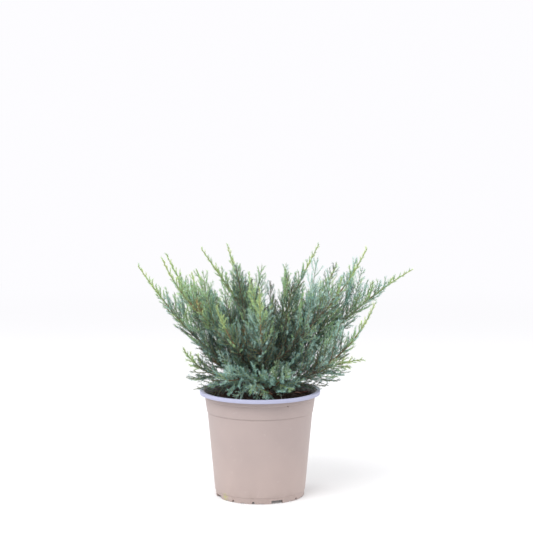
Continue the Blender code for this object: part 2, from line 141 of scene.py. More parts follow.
# Trunk: its middle line, pairs of a share of its height and the radius there, and the lobes of its flare
TRUNK_FOOT = Vector((0.004, 0.003, SOIL_TOP + 0.0003))
TRUNK_TIP = Vector((0.000, 0.007, SOIL_TOP + 0.040))
TRUNK_RADII = ((0.0, 0.0150), (0.10, 0.0112), (0.26, 0.0092), (0.60, 0.0078), (0.82, 0.0060), (1.0, 0.0030))
ROOT_LOBES = 5
LOBE_DEPTH = 0.16
LOBE_END = 0.20

# Bark: steps along, sides and relief on the trunk and on a limb, how far a limb's bark goes on past the
# start of its foliage, and its ridges and strings as waves across and along, a shift and a share
TRUNK_BARK = (0.0008, 48, 0.13)
LIMB_BARK = (0.0010, 14, 0.16)
BARK_PAST = 0.02
BARK_WAVES = ((2.4, 45.0, 0.0, 0.7), (6.0, 150.0, 9.0, 0.5))

# Limbs: radius at the tip, points and bend of the middle line, and how the radius falls off
TIP_RADIUS = 0.0007
AXIS_POINTS = 64
HANDLE = 0.38
TAPER = 0.85

Limb = namedtuple("Limb", "name parent fork azimuth swing reach height rise tip_rise leafy twig radius cast")

# Name, what carries it, how far up that, azimuth of the tip, turn from there to the azimuth of the foot,
# reach and height of the tip in mm, rise at the foot and at the tip, share of its length where foliage
# starts, longest twig and foot radius in mm, and the cast of its needles
LIMBS = [
    Limb("left_outer", "trunk", 0.26, 183, 8, 190, 364, 33, 56, 0.19, 84, 3.0, "green"),
    Limb("left_front", "trunk", 0.66, 207, 12, 166, 382, 52, 66, 0.19, 88, 3.0, "green"),
    Limb("front_left", "trunk", 0.42, 240, -4, 130, 312, 44, 56, 0.19, 80, 2.8, "green"),
    Limb("front_centre", "trunk", 0.22, 270, 2, 136, 344, 44, 62, 0.17, 86, 3.0, "mixed"),
    Limb("front_right", "trunk", 0.52, 345, -18, 170, 394, 50, 64, 0.20, 86, 3.0, "mixed"),
    Limb("right_outer", "trunk", 0.36, 3, 8, 240, 356, 30, 30, 0.17, 92, 3.2, "grey"),
    Limb("right_lower", "trunk", 0.16, 333, 0, 196, 316, 16, 66, 0.14, 78, 2.8, "grey"),
    Limb("back_right", "trunk", 0.48, 48, 0, 190, 350, 46, 48, 0.17, 90, 3.0, "mixed"),
    Limb("back_centre", "trunk", 0.22, 96, 0, 186, 334, 42, 50, 0.17, 88, 3.0, "mixed"),
    Limb("back_left", "trunk", 0.48, 150, -6, 176, 374, 48, 62, 0.19, 90, 3.0, "green"),
    Limb("crown_left", "trunk", 0.60, 209, 70, 102, 394, 66, 54, 0.22, 76, 2.4, "green"),
    Limb("crown_right", "trunk", 0.66, 28, 20, 106, 392, 62, 58, 0.22, 80, 2.4, "mixed"),
    Limb("crown_back", "trunk", 1.0, 125, 20, 92, 390, 84, 64, 0.18, 78, 2.8, "mixed"),
    Limb("low_left", "left_outer", 0.09, 197, 16, 124, 238, 6, 62, 0.12, 74, 2.0, "mixed"),
    Limb("low_front_left", "front_left", 0.11, 232, 0, 100, 206, 12, 48, 0.12, 66, 2.0, "blue"),
    Limb("low_front", "front_centre", 0.10, 262, -8, 92, 184, 8, -8, 0.12, 62, 2.0, "blue"),
    Limb("low_front_right", "trunk", 0.12, 300, 0, 92, 208, 14, 30, 0.14, 70, 2.2, "blue"),
    Limb("low_right", "right_lower", 0.10, 348, 20, 164, 220, 12, 6, 0.12, 72, 2.0, "grey"),
    Limb("low_back_right", "back_right", 0.12, 66, 12, 136, 226, 10, 48, 0.12, 74, 2.0, "mixed"),
    Limb("low_back_left", "back_left", 0.12, 124, -20, 136, 230, 10, 48, 0.12, 74, 2.0, "mixed"),
]

# Branches along a limb, turned on from one another by the source's rule: angle to the limb, lift, where they
# begin as a share of the bare stretch, and how far they pull round to the limb's own way and upwards
GOLDEN_TURN = 137.5
BRANCH_ANGLE = 44.0
BRANCH_LIFT = 0.30
FIRST_BRANCH = 0.35
FIRST_NODE = 0.35
BRANCH_PULL = 0.35
PULL_LIFT = 0.15
LEAN = 60.0

# Length of the branches below a limb, and length and lift of those of the low limbs
BELOW_SHARE = 0.62
LOW_SHARE = 1.04
LOW_LIFT = 0.05

# Long upright branches: one in so many, up to this share of the limb, on its sides and top only
LONG_EVERY = 6
LONG_RANK = 2
LONG_END = 0.62
LONG_BELOW = -0.3
LONG_SHARE = 1.65
LONG_LIFT = 0.35

# Length at the foot of a limb or shoot, and the stretch of it along which length comes to that of the rest
FOOT_LENGTH = 0.60
LIMB_FOOT = 0.30
SHOOT_FOOT = 0.35

# Least and greatest share of the rule's angle and length that the seed deals out
BRANCH_ANGLES = (0.70, 1.12)
BRANCH_LENGTHS = (0.72, 1.12)
SHOOT_ANGLES = (0.8, 1.2)
SHOOT_LENGTHS = (0.75, 1.15)

# Slim leaders: shortest branch at the tip, and how far from there branches reach their full length
LEADER_BRANCH = 0.005
LEADER_LENGTH = 0.200

# A limb's own stem past its bark: its share of the limb's radius, and its stretches of one wood each
STEM_SHARE = 0.80
STEM_POINTS = 40
STRETCHES = ((0.0, 0.40, "old"), (0.40, 0.72, "orange"), (0.72, 1.0, "young"))

# Orders of shoots: spacing of the finer ones, their length as a share of the carrier's, their angle and
# least length, and the order's own wood radius and needle size
Order = namedtuple("Order", "step share angle least wood needles")
ORDERS = {
    1: Order(0.0050, 0.44, 40.0, 0.0050, 0.0007, 1.0),
    2: Order(0.0044, 0.46, 37.0, 0.0042, 0.0005, 0.92),
    3: Order(None, None, None, None, 0.0003, 0.84),
}

# Shoots: length of a step, tapers, the stretch that bears finer shoots, the outline of a spray, and how far
# the finer shoots lift, pull round to their carrier's way, twist and stand out of the spray's plane
SHOOT_STEP = 0.006
WOOD_TAPER = 0.55
NEEDLE_TAPER = 0.30
BARE_FOOT = 0.14
BEARING = 0.80
SPRAY_OUTLINE = 0.62
SHOOT_LIFT = 0.10
SHOOT_PULL = 0.65
SPRAY_TWIST = 0.5
OUT_OF_PLANE = 38.0

# Branches with orange wood: least distance from the limb's tip, and least length
ORANGE_FROM_TIP = 0.09
ORANGE_LENGTH = 0.022

# How open a place in the crown is: reach and height that count as 1, and where its depths begin
OPEN_REACH = 0.15
OPEN_FOOT = 0.20
OPEN_HEIGHT = 0.16
INSIDE_BELOW = 0.62
MIDDLE_BELOW = 1.25
LEADER_END = 0.050
TUFT_END = 0.075

# Needle tints, their weights deep in the crown, through it, near its outside and on leaders, and what a
# limb's cast makes of those weights. The two darkest tints, weighted most deep in the crown, are painted
# shade.
TINTS = {
    # Painted shade: the two darkest tints, dealt out mostly deep in the crown.
    "dusk": (0.042, 0.080, 0.070),
    "deep": (0.100, 0.180, 0.148),
    "sage": (0.330, 0.510, 0.345),
    "blue": (0.270, 0.475, 0.425),
    "silver": (0.430, 0.640, 0.600),
    "green": (0.320, 0.530, 0.275),
    "fresh": (0.460, 0.660, 0.300),
    "lime": (0.590, 0.730, 0.320),
    "straw": (0.380, 0.240, 0.110),
}
DEPTHS = {
    # Painted shade: deep in the crown the weights favour the two darkest tints.
    "inside": {"dusk": 6, "deep": 4, "sage": 0.5, "straw": 0.15},
    "middle": {"dusk": 1, "deep": 3, "sage": 2, "blue": 2.6, "green": 2.0, "silver": 0.4, "straw": 0.02},
    "outside": {"sage": 2.4, "blue": 3.0, "green": 2.6, "silver": 1.0, "fresh": 0.9},
    "leader": {"fresh": 4, "lime": 3, "green": 2, "sage": 1},
}
CASTS = {
    "mixed": {},
    "green": {"green": 1.6, "fresh": 1.8, "lime": 1.3, "silver": 0.4, "blue": 0.7},
    "blue": {"blue": 2.6, "silver": 2.6, "green": 0.3, "fresh": 0.1, "lime": 0.0, "sage": 0.6},
    "grey": {"blue": 1.7, "silver": 1.2, "sage": 1.2, "deep": 1.6, "fresh": 0.5},
}

# Each tint and the one a step lighter, for the outer shoots of a spray, or darker, for its inner ones
LIGHTER = dict(dusk="deep", deep="blue", blue="silver", sage="green", green="fresh", fresh="lime")
DARKER = dict(lime="fresh", fresh="green", green="sage", silver="blue", sage="deep", blue="deep")

# Chance of another tint, and the share along a spray and chance of a lighter or darker one
OTHER_CHANCE = 0.20
LIGHTER_FROM = 0.55
LIGHTER_CHANCE = 0.55
DARKER_TO = 0.40
DARKER_CHANCE = 0.60

# Wood of stems and twigs: faces round them, roughness and colours
STEM_SIDES = 7
TWIG_SIDES = 3
WOOD_ROUGHNESS = 0.75
WOODS = {
    "old": (0.105, 0.066, 0.045),
    "orange": (0.250, 0.150, 0.080),
    "young": (0.300, 0.330, 0.140),
}

# Fallen leaves: name, place on the compost, length, width, turn, tilt and curl
Leaf = namedtuple("Leaf", "name x y length width turn tilt curl")
LEAF_STEPS = 9
LEAF_THICKNESS = 0.0002
LEAF_LIFT = 0.0016
LITTER = (
    Leaf("red_brown_leaf", 0.0715, 0.024, 0.0150, 0.0085, 24.0, -6.0, 0.45),
    Leaf("tan_leaf", 0.0600, 0.014, 0.0120, 0.0060, -18.0, 5.0, 0.35),
    Leaf("brown_leaf", -0.0560, 0.030, 0.0140, 0.0070, 70.0, 4.0, -0.40),
    Leaf("dry_leaf", 0.0180, 0.062, 0.0110, 0.0055, 140.0, -5.0, 0.40),
)

# Colour of each leaf and of the rootlet, and the colour of its blotches
DEAD_COLOURS = {
    "red_brown_leaf": ((0.230, 0.070, 0.045), (0.110, 0.035, 0.025)),
    "tan_leaf": ((0.480, 0.280, 0.200), (0.300, 0.150, 0.100)),
    "brown_leaf": ((0.200, 0.110, 0.060), (0.110, 0.055, 0.030)),
    "dry_leaf": ((0.330, 0.200, 0.110), (0.180, 0.095, 0.050)),
    "pale_rootlet": ((0.420, 0.360, 0.300), (0.240, 0.180, 0.130)),
}

# Pale rootlet: place on the compost, height above it and radius
ROOTLET = (
    (0.0300, 0.012, 0.0004, 0.0007),
    (0.0310, -0.002, 0.0042, 0.0008),
    (0.0325, -0.016, 0.0030, 0.0007),
    (0.0335, -0.030, 0.0016, 0.0006),
    (0.0340, -0.042, 0.0002, 0.0004),
)
ROOTLET_SIDES = 8

# Most faces that one joined piece may have, with some to spare for the ends of shoots
MOST_FACES = 190000
SPARE = 0.96
NEEDLE_FACES = 4

# A needle: where it is widest, how far its keel stands off there, and its roughness
NEEDLE_WIDEST = 0.34
NEEDLE_KEEL = 0.33
NEEDLE_ROUGHNESS = 0.62

# Lights: places and widths
KEY_PLACE = Vector((-0.7, -1.3, 2.3))
KEY_SIZE = 1.4
LEFT_PLACE = Vector((-2.0, 0.6, 1.1))
RIGHT_PLACE = Vector((2.0, 0.6, 1.1))
SIDE_SIZE = 1.2

# Camera, fitted to the pot's rim, shoulder and foot
CAMERA_PLACE = Vector((0.0102, -2.4, 0.6053))
CAMERA_PITCH = 5.79
CAMERA_LENS = 104.2


# Node trees


def sum_of(operation, swapped=False):
    """One operator of a value, with its sides swapped where the value stands on the right."""

    def apply(self, other):
        return self.math(operation, other, self) if swapped else self.math(operation, self, other)

    return apply


class Value:
    """An output of a node that sums can be written with."""

    def __init__(self, nodes, socket):
        self.nodes = nodes
        self.socket = socket

    def math(self, operation, *values):
        return self.nodes.node("ShaderNodeMath", {"operation": operation}, dict(enumerate(values)))

    __add__, __radd__ = sum_of("ADD"), sum_of("ADD", True)
    __sub__, __rsub__ = sum_of("SUBTRACT"), sum_of("SUBTRACT", True)
    __mul__, __rmul__ = sum_of("MULTIPLY"), sum_of("MULTIPLY", True)
    __truediv__, __rtruediv__ = sum_of("DIVIDE"), sum_of("DIVIDE", True)

    def above(self, least):
        return self.math("MAXIMUM", self, least)


class Nodes:
    """Builds a node tree, one node to a call."""

    def __init__(self, tree):
        self.tree = tree

    def fill(self, socket, value):
        """Gives a socket a link or a value, and a colour of three numbers its alpha."""
        if isinstance(value, Value):
            self.tree.links.new(value.socket, socket)
        elif value is not None:
            if socket.type == "RGBA" and len(value) == 3:
                value = (*value, 1.0)
            socket.default_value = value

    def node(self, kind, settings=None, values=None, out=0):
        """Makes a node with its settings and the values or links of its sockets."""
        made = self.tree.nodes.new(kind)
        for name, value in (settings or {}).items():
            if name == "stops":
                self.set_stops(made.color_ramp, value)
            else:
                setattr(made, name, value)
        for key, value in (values or {}).items():
            self.fill(made.inputs[key], value)
        return Value(self, made.outputs[out])

    @staticmethod
    def set_stops(ramp, stops):
        while len(ramp.elements) > 1:
            ramp.elements.remove(ramp.elements[-1])
        for i, (place, colour) in enumerate(stops):
            element = ramp.elements[0] if i == 0 else ramp.elements.new(place)
            element.position = place
            element.color = (*colour, 1.0)

    def mix(self, factor, first, second, blend="MIX"):
        settings = {"data_type": "RGBA", "blend_type": blend}
        return self.node("ShaderNodeMix", settings, {0: factor, 6: first, 7: second}, out=2)

    def vector(self, operation, first, second=None, out=0):
        return self.node("ShaderNodeVectorMath", {"operation": operation}, {0: first, 1: second}, out)

    def noise(self, vector, scale, detail=3.0, roughness=0.55):
        values = {"Vector": vector, "Scale": scale, "Detail": detail, "Roughness": roughness}
        return self.node("ShaderNodeTexNoise", None, values)

    def ramp(self, value, *stops):
        return self.node("ShaderNodeValToRGB", {"stops": stops}, {0: value})

    def slope(self, value, low, high):
        """Runs from 0 at the low value to 1 at the high one."""
        settings = {"interpolation_type": "SMOOTHSTEP"}
        return self.node("ShaderNodeMapRange", settings, {0: value, 1: low, 2: high})


class Finish(Nodes):
    """A material on a Principled shader."""

    def __init__(self, name, **constants):
        self.material = bpy.data.materials.new(name)
        self.material.use_nodes = True
        super().__init__(self.material.node_tree)
        self.shader = self.tree.nodes["Principled BSDF"]
        for key, value in constants.items():
            self.set(key.replace("_", " ").title().replace("Ior", "IOR"), value)

    def set(self, name, value):
        self.fill(self.shader.inputs[name], value)

    def place(self):
        return self.node("ShaderNodeTexCoord", None, None, out="Object")

    def parts(self, vector):
        """The three numbers of a vector."""
        made = self.node("ShaderNodeSeparateXYZ", None, {0: vector}).socket.node
        return [Value(self, output) for output in made.outputs]

    def bump(self, height, strength, distance):
        values = {"Height": height, "Strength": strength, "Distance": distance}
        self.set("Normal", self.node("ShaderNodeBump", None, values))


class Maker(Nodes):
    """A Geometry Nodes tree with named inputs, used once on an object and turned into a plain mesh."""

    def __init__(self, name, **inputs):
        group = bpy.data.node_groups.new(name, "GeometryNodeTree")
        super().__init__(group)
        group.interface.new_socket("Geometry", in_out="INPUT", socket_type="NodeSocketGeometry")
        group.interface.new_socket("Geometry", in_out="OUTPUT", socket_type="NodeSocketGeometry")
        kinds = {float: "NodeSocketFloat", int: "NodeSocketInt"}
        self.values = {}
        for key, value in inputs.items():
            kind = kinds.get(type(value))
            if kind is None:
                kind = f"NodeSocket{type(value).__name__}"
            label = key.replace("_", " ").title()
            group.interface.new_socket(label, in_out="INPUT", socket_type=kind)
            self.values[label] = value
        self.inputs = group.nodes.new("NodeGroupInput")
        self.output = group.nodes.new("NodeGroupOutput")

    def __getitem__(self, label):
        return Value(self, self.inputs.outputs[label])

    def finish(self, shape):
        """Realizes what was made and gives it its material."""
        real = self.node("GeometryNodeRealizeInstances", None, {0: shape})
        values = {"Geometry": real, "Material": self["Material"]}
        self.fill(self.output.inputs[0], self.node("GeometryNodeSetMaterial", None, values))

    def apply(self, source, name):
        """Runs the tree on an object, and returns the result as a plain mesh object."""
        modifier = source.modifiers.new(self.tree.name, "NODES")
        modifier.node_group = self.tree
        for item in self.tree.interface.items_tree:
            if item.name in self.values:
                modifier[item.identifier] = self.values[item.name]
        graph = bpy.context.evaluated_depsgraph_get()
        mesh = bpy.data.meshes.new_from_object(source.evaluated_get(graph))
        source.modifiers.remove(modifier)
        mesh.name = name
        return show(name, mesh)


def show(name, mesh, material=None):
    if material:
        mesh.materials.clear()
        mesh.materials.append(material)
    piece = bpy.data.objects.new(name, mesh)
    bpy.context.scene.collection.objects.link(piece)
    return piece


def ride(piece, slot, *replaced):
    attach(piece, "root")
    if replaced:
        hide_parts(*replaced)


def drop(*objects):
    for ob in objects:
        bpy.data.objects.remove(ob, do_unlink=True)


def mesh_from(bm, name):
    mesh = bpy.data.meshes.new(name)
    bm.to_mesh(mesh)
    bm.free()
    return mesh


# Materials


def plain(name, colour, roughness):
    """One even colour, for the joined needles and twigs."""
    return Finish(name, base_color=colour, roughness=roughness).material


def stained_inside(made, place, out, height):
    """Share of peat stain and painted shade at a place: on the inner wall, from below the compost up to the
    rim.
    """
    taper = (inside_radius(THROAT_HEIGHT) - inside_radius(0.0)) / THROAT_HEIGHT
    flare = (MOUTH_RADIUS - inside_radius(THROAT_HEIGHT)) / (RIM_TOP - THROAT_HEIGHT)
    wall_line = inside_radius(0.0) + height * taper + (height - THROAT_HEIGHT).above(0.0) * flare
    inside = made.slope(out - wall_line, 0.0012, 0.0005) * made.slope(height, 0.120, 0.150)
    patches = made.slope(made.noise(place, 150.0, 4.0, 0.6), 0.30, 0.60) * 0.35 + 0.60
    return inside * patches * made.slope(height, RIM_TOP + 0.0004, RIM_TOP - 0.003)


def pot_plastic(settings):
    """Matte taupe plastic with faint scuffs and a green mark on the foot; the lilac on the rim is a painted
    highlight, the wall grows lighter towards the foot with painted bounce light, and the inside is dark with
    peat stain and painted shade.
    """
    made = Finish("taupe plastic", roughness=0.5, specular_ior_level=0.4)
    place = made.place()
    x, y, z = made.parts(place)
    out = made.node("ShaderNodeMath", {"operation": "SQRT"}, {0: x * x + y * y})
    cloudy = made.noise(place, 16.0, 2.0)
    # Painted bounce light from the floor: the wall grows lighter from its top down to the foot.
    colour = made.mix(made.slope(z, 0.0, 0.15), settings.foot_colour, settings.wall_colour)
    shade = made.ramp(cloudy, (0.3, (0.93, 0.93, 0.93)), (0.7, (1.05, 1.04, 1.03)))
    colour = made.mix(0.6, colour, shade, "MULTIPLY")
    # Painted highlight: the lip above the rim's edge takes a lilac colour for the bluish light it reflects.
    above_edge = made.slope(z, RIM_EDGE - 0.0002, RIM_EDGE + 0.0004)
    outside_mouth = made.slope(out, MOUTH_RADIUS - 0.002, MOUTH_RADIUS)
    colour = made.mix(above_edge * outside_mouth, colour, settings.rim_colour)
    # Peat stain and painted shade darken the inner wall from below the compost up to the rim.
    colour = made.mix(stained_inside(made, place, out, z), colour, settings.stain_colour)
    near_mark = made.slope(made.vector("DISTANCE", place, settings.mark_place, 1), 0.0085, 0.0020)
    smudge = near_mark * made.slope(made.noise(place, 420.0), 0.42, 0.62)
    colour = made.mix(smudge * 0.8, colour, settings.mark_colour)
    dust = made.slope(z, 0.030, 0.0) * made.slope(made.noise(place, 60.0, 4.0, 0.65), 0.40, 0.70)
    colour = made.mix(dust * 0.30, colour, settings.dust_colour)
    scuffs = made.slope(made.noise(place, 95.0, 5.0, 0.7), 0.60, 0.78)
    colour = made.mix(scuffs * 0.14, colour, settings.scuff_colour)
    made.set("Base Color", colour)
    made.set("Roughness", 0.42 + cloudy * 0.16 + scuffs * 0.15)
    grain = made.noise(place, 1300.0, 2.0)
    waves = made.noise(place, 26.0, 1.0)
    made.bump(grain * 0.10 + waves, 0.25, 0.0012)
    return made.material


def compost_finish(name, dark, light):
    """Damp peat: dark brown with paler specks."""
    made = Finish(name, roughness=0.9, specular_ior_level=0.25)
    place = made.place()
    lumps = made.noise(place, 130.0, 5.0, 0.65)
    middle = tuple((a + b) / 2 for a, b in zip(dark, light))
    made.set("Base Color", made.ramp(lumps, (0.32, dark), (0.58, middle), (0.74, light)))
    made.set("Roughness", 0.72 + lumps * 0.35)
    made.bump(made.noise(place, 620.0, 4.0, 0.7), 0.8, 0.0012)
    return made.material


def bark_finish():
    """Stringy orange-brown bark, with streaks that run along the limb."""
    made = Finish("stringy bark", roughness=0.85, specular_ior_level=0.25)
    along = made.node("ShaderNodeUVMap", {"uv_map": "limb"}, None)
    stretched = made.node("ShaderNodeMapping", None, {"Vector": along, "Scale": (16.0, 55.0, 1.0)})
    streaks = made.noise(stretched, 1.0, 5.0, 0.65)
    furrow, fibre, ridge = (0.065, 0.034, 0.022), (0.230, 0.110, 0.058), (0.420, 0.235, 0.130)
    colour = made.ramp(streaks, (0.30, furrow), (0.48, fibre), (0.66, ridge))
    flakes = made.slope(made.noise(made.place(), 190.0, 4.0, 0.6), 0.56, 0.70)
    made.set("Base Color", made.mix(flakes * 0.5, colour, (0.30, 0.24, 0.20)))
    made.set("Roughness", 0.75 + flakes * 0.2)
    made.bump(streaks + flakes * 0.3, 0.9, 0.0008)
    return made.material


def dead_finish(name):
    """A fallen leaf or a rootlet, blotched and dull."""
    made = Finish(name.replace("_", " "))
    blotches = made.slope(made.noise(made.place(), 260.0, 3.0), 0.42, 0.62)
    made.set("Base Color", made.mix(blotches, *DEAD_COLOURS[name]))
    made.set("Roughness", 0.6 + blotches * 0.2)
    made.bump(blotches, 0.4, 0.0006)
    return made.material


# Pot and compost


def circle(count):
    """Cosine and sine of even turns."""
    turns = (2.0 * math.pi * i / count for i in range(count))
    return [(math.cos(turn), math.sin(turn)) for turn in turns]


def skin(bm, low, high, smooth=False):
    """Faces between two rings of points, or between a ring and a single point."""
    count = max(len(low), len(high))
    for i in range(count):
        j = (i + 1) % count
        corners = [low[i % len(low)], low[j % len(low)], high[j % len(high)], high[i % len(high)]]
        bm.faces.new(list(dict.fromkeys(corners))).smooth = smooth


def inside_radius(height):
    """Inner radius of the wall, one straight taper from the foot to the throat below the rim."""
    foot, top = WALL_FOOT_RADIUS - WALL, SHOULDER_RADIUS - SHOULDER_STEP - WALL
    return foot + (top - foot) * (height - WALL_FOOT_HEIGHT) / (SHOULDER_HEIGHT - WALL_FOOT_HEIGHT)


def pot_profile(steps):
    """Outline of the pot's wall from the middle of its underside, round the rim and down the inside."""

    def corner(centre_r, centre_z, radius, start, end):
        turns = (math.radians(start + (end - start) * i / steps) for i in range(steps + 1))
        return [(centre_r + radius * math.cos(t), centre_z + radius * math.sin(t)) for t in turns]

    foot_in = FOOT_RADIUS - FOOT_WIDTH
    soft = EDGE_ROUNDING
    roof = RIM_EDGE + RIM_HOLLOW
    lip = RIM_ROUNDING
    return [
        (0.0, 0.0),
        *corner(PAD_RADIUS - soft, soft, soft, -90, 0),
        (PAD_RADIUS + 0.003, DRAIN_HEIGHT),
        (foot_in, DRAIN_HEIGHT),
        *corner(foot_in + soft, soft, soft, 180, 270),
        *corner(FOOT_RADIUS - soft, soft, soft, -90, 0),
        (FOOT_RADIUS + 0.0004, WALL_FOOT_HEIGHT - 0.0012),
        (FOOT_RADIUS + 0.0006, WALL_FOOT_HEIGHT - 0.0005),
        *corner(WALL_FOOT_RADIUS - soft, WALL_FOOT_HEIGHT + soft, soft, -60, 0),
        (WALL_FOOT_RADIUS + 0.0006, WALL_FOOT_HEIGHT + 0.006),
        (SHOULDER_RADIUS - SHOULDER_STEP - 0.0004, SHOULDER_HEIGHT - 0.004),
        (SHOULDER_RADIUS - SHOULDER_STEP, SHOULDER_HEIGHT - 0.0006),
        (SHOULDER_RADIUS - SHOULDER_STEP - 0.0002, SHOULDER_HEIGHT),
        *corner(SHOULDER_RADIUS - 0.0005, SHOULDER_HEIGHT + 0.0009, 0.0005, -90, 0),
        (SHOULDER_RADIUS + 0.0002, SHOULDER_HEIGHT + 0.003),
        (RING_RADIUS - 0.0002, RING_HEIGHT - 0.0010),
        (RING_RADIUS - 0.0001 - RING_GROOVE, RING_HEIGHT - 0.0004),
        (RING_RADIUS - RING_GROOVE, RING_HEIGHT),
        (RING_RADIUS, RING_HEIGHT + 0.0005),
        (RING_RADIUS + 0.0001, roof - 0.0006),
        (RING_RADIUS + 0.0007, roof),
        (RIM_RADIUS - 0.0022, roof),
        (RIM_RADIUS - 0.0016, roof - 0.0006),
        *corner(RIM_RADIUS - 0.0009, RIM_EDGE + 0.0005, 0.0005, 180, 270),
        *corner(RIM_RADIUS - 0.0005, RIM_EDGE + 0.0005, 0.0005, -90, 0),
        (RIM_RADIUS, RIM_TOP - 0.003),
        *corner(RIM_RADIUS - lip, RIM_TOP - lip, lip, 0, 90),
        (RIM_RADIUS - 0.0030, RIM_TOP - 0.0001),
        *corner(MOUTH_RADIUS, RIM_TOP - 0.0009, 0.0008, 90, 180),
        (inside_radius(THROAT_HEIGHT) + 0.0006, THROAT_HEIGHT + 0.0012),
        (inside_radius(THROAT_HEIGHT), THROAT_HEIGHT - 0.0010),
        (inside_radius(WALL_FOOT_HEIGHT), WALL_FOOT_HEIGHT),
        (inside_radius(WALL_FOOT_HEIGHT) - 0.0010, DRAIN_HEIGHT + FLOOR),
        (PAD_RADIUS + 0.0010, DRAIN_HEIGHT + FLOOR),
        (PAD_RADIUS - 0.0015, FLOOR),
        (0.0, FLOOR),
    ]


def turned(profile, sides):
    """Turns an outline that starts and ends on the Z axis into one closed skin."""
    bm = bmesh.new()
    rings = []
    for radius, height in profile:
        around = circle(sides) if radius else [(0.0, 0.0)]
        rings.append([bm.verts.new((radius * c, radius * s, height)) for c, s in around])
    for low, high in zip(rings, rings[1:]):
        skin(bm, low, high)
    bmesh.ops.recalc_face_normals(bm, faces=bm.faces)
    return bm


def notch_block(bm, azimuth, width, height, corner, steps=4, past=0.004):
    """A block with rounded upper corners that cuts one drain notch through the foot."""
    half = width * 0.5
    outline = [(-half, -past * 0.5), (half, -past * 0.5)]
    for side, first, last in ((1.0, 0.0, 90.0), (-1.0, 90.0, 0.0)):
        for i in range(steps + 1):
            turn = math.radians(first + (last - first) * i / steps)
            across = side * (half - corner + corner * math.cos(turn))
            outline.append((across, height - corner + corner * math.sin(turn)))
    place = Matrix.Rotation(math.radians(azimuth), 4, "Z")
    near, far = FOOT_RADIUS - FOOT_WIDTH - past, FOOT_RADIUS + past
    rings = [[bm.verts.new(place @ Vector((r, a, z))) for a, z in outline] for r in (near, far)]
    skin(bm, *rings)
    for ring in rings:
        bm.faces.new(ring)


def soil_height(x, y, settings):
    """The compost's top: low at the wall, heaped a little round the trunk, and lumpy."""
    out = math.hypot(x, y)
    lumps = noise.fractal(Vector((x, y, 0.3)) * LUMP_WAVES, 1.0, 2.0, 4)
    fine = noise.noise(Vector((x, y, 4.7)) * FINE_WAVES)
    heap = HEAP_HEIGHT * math.exp(-((out / HEAP_RADIUS) ** 2))
    slump = SLUMP * max(0.0, out / inside_radius(SOIL_TOP) - SLUMP_START) / (1.0 - SLUMP_START)
    return SOIL_TOP - 0.0006 + heap - slump + settings.relief * (lumps * 0.8 + fine * 0.25)


# Limbs


class Axis:
    """The middle line of a limb or trunk, with its radius along it."""

    def __init__(self, points, radius_at):
        self.points = points
        self.radius = radius_at
        steps = [0.0]
        for a, b in zip(points, points[1:]):
            steps.append(steps[-1] + (b - a).length)
        self.length = steps[-1]
        self.shares = np.array(steps) / self.length

    def at(self, share):
        share = min(1.0, max(0.0, share))
        i = max(1, int(np.searchsorted(self.shares, share)))
        low, high = self.shares[i - 1], self.shares[i]
        return self.points[i - 1].lerp(self.points[i], float((share - low) / (high - low)))

    def tangent(self, share):
        step = 0.5 / AXIS_POINTS
        return (self.at(share + step) - self.at(share - step)).normalized()


def direction(azimuth, rise):
    a, e = math.radians(azimuth), math.radians(rise)
    return Vector((math.cos(a) * math.cos(e), math.sin(a) * math.cos(e), math.sin(e)))


def trunk_axis():
    points = [TRUNK_FOOT.lerp(TRUNK_TIP, i / AXIS_POINTS) for i in range(AXIS_POINTS + 1)]
    shares, radii = zip(*TRUNK_RADII)
    return Axis(points, lambda share: float(np.interp(share, shares, radii)))


def limb_axis(limb, carrier):
    """One smooth curve from the carrier's middle line to the limb's tip."""
    foot = carrier.at(limb.fork)
    reach = direction(limb.azimuth, 0.0) * limb.reach * MM
    tip = Vector((reach.x, reach.y, limb.height * MM))
    handle = (tip - foot).length * HANDLE
    first = foot + direction(limb.azimuth + limb.swing, limb.rise) * handle
    last = tip - direction(limb.azimuth, limb.tip_rise) * handle
    points = geometry.interpolate_bezier(foot, first, last, tip, AXIS_POINTS + 1)
    foot_radius = limb.radius * MM
    return Axis(points, lambda share: TIP_RADIUS + (foot_radius - TIP_RADIUS) * (1.0 - share) ** TAPER)


@functools.cache
def limb_axes():
    axes = {"trunk": trunk_axis()}
    for limb in LIMBS:
        axes[limb.name] = limb_axis(limb, axes[limb.parent])
    return axes


def cross_frame(tangent):
    """Side and upper directions square to a tangent."""
    side = tangent.cross(UP)
    if side.length < 0.05:
        side = Vector((1.0, 0.0, 0.0)) - tangent * tangent.x
    side.normalize()
    return side, side.cross(tangent)


def root_lobes(share):
    """Depth of the lobes of the root flare, as a share of the radius."""
    return LOBE_DEPTH * max(0.0, 1.0 - share / LOBE_END)


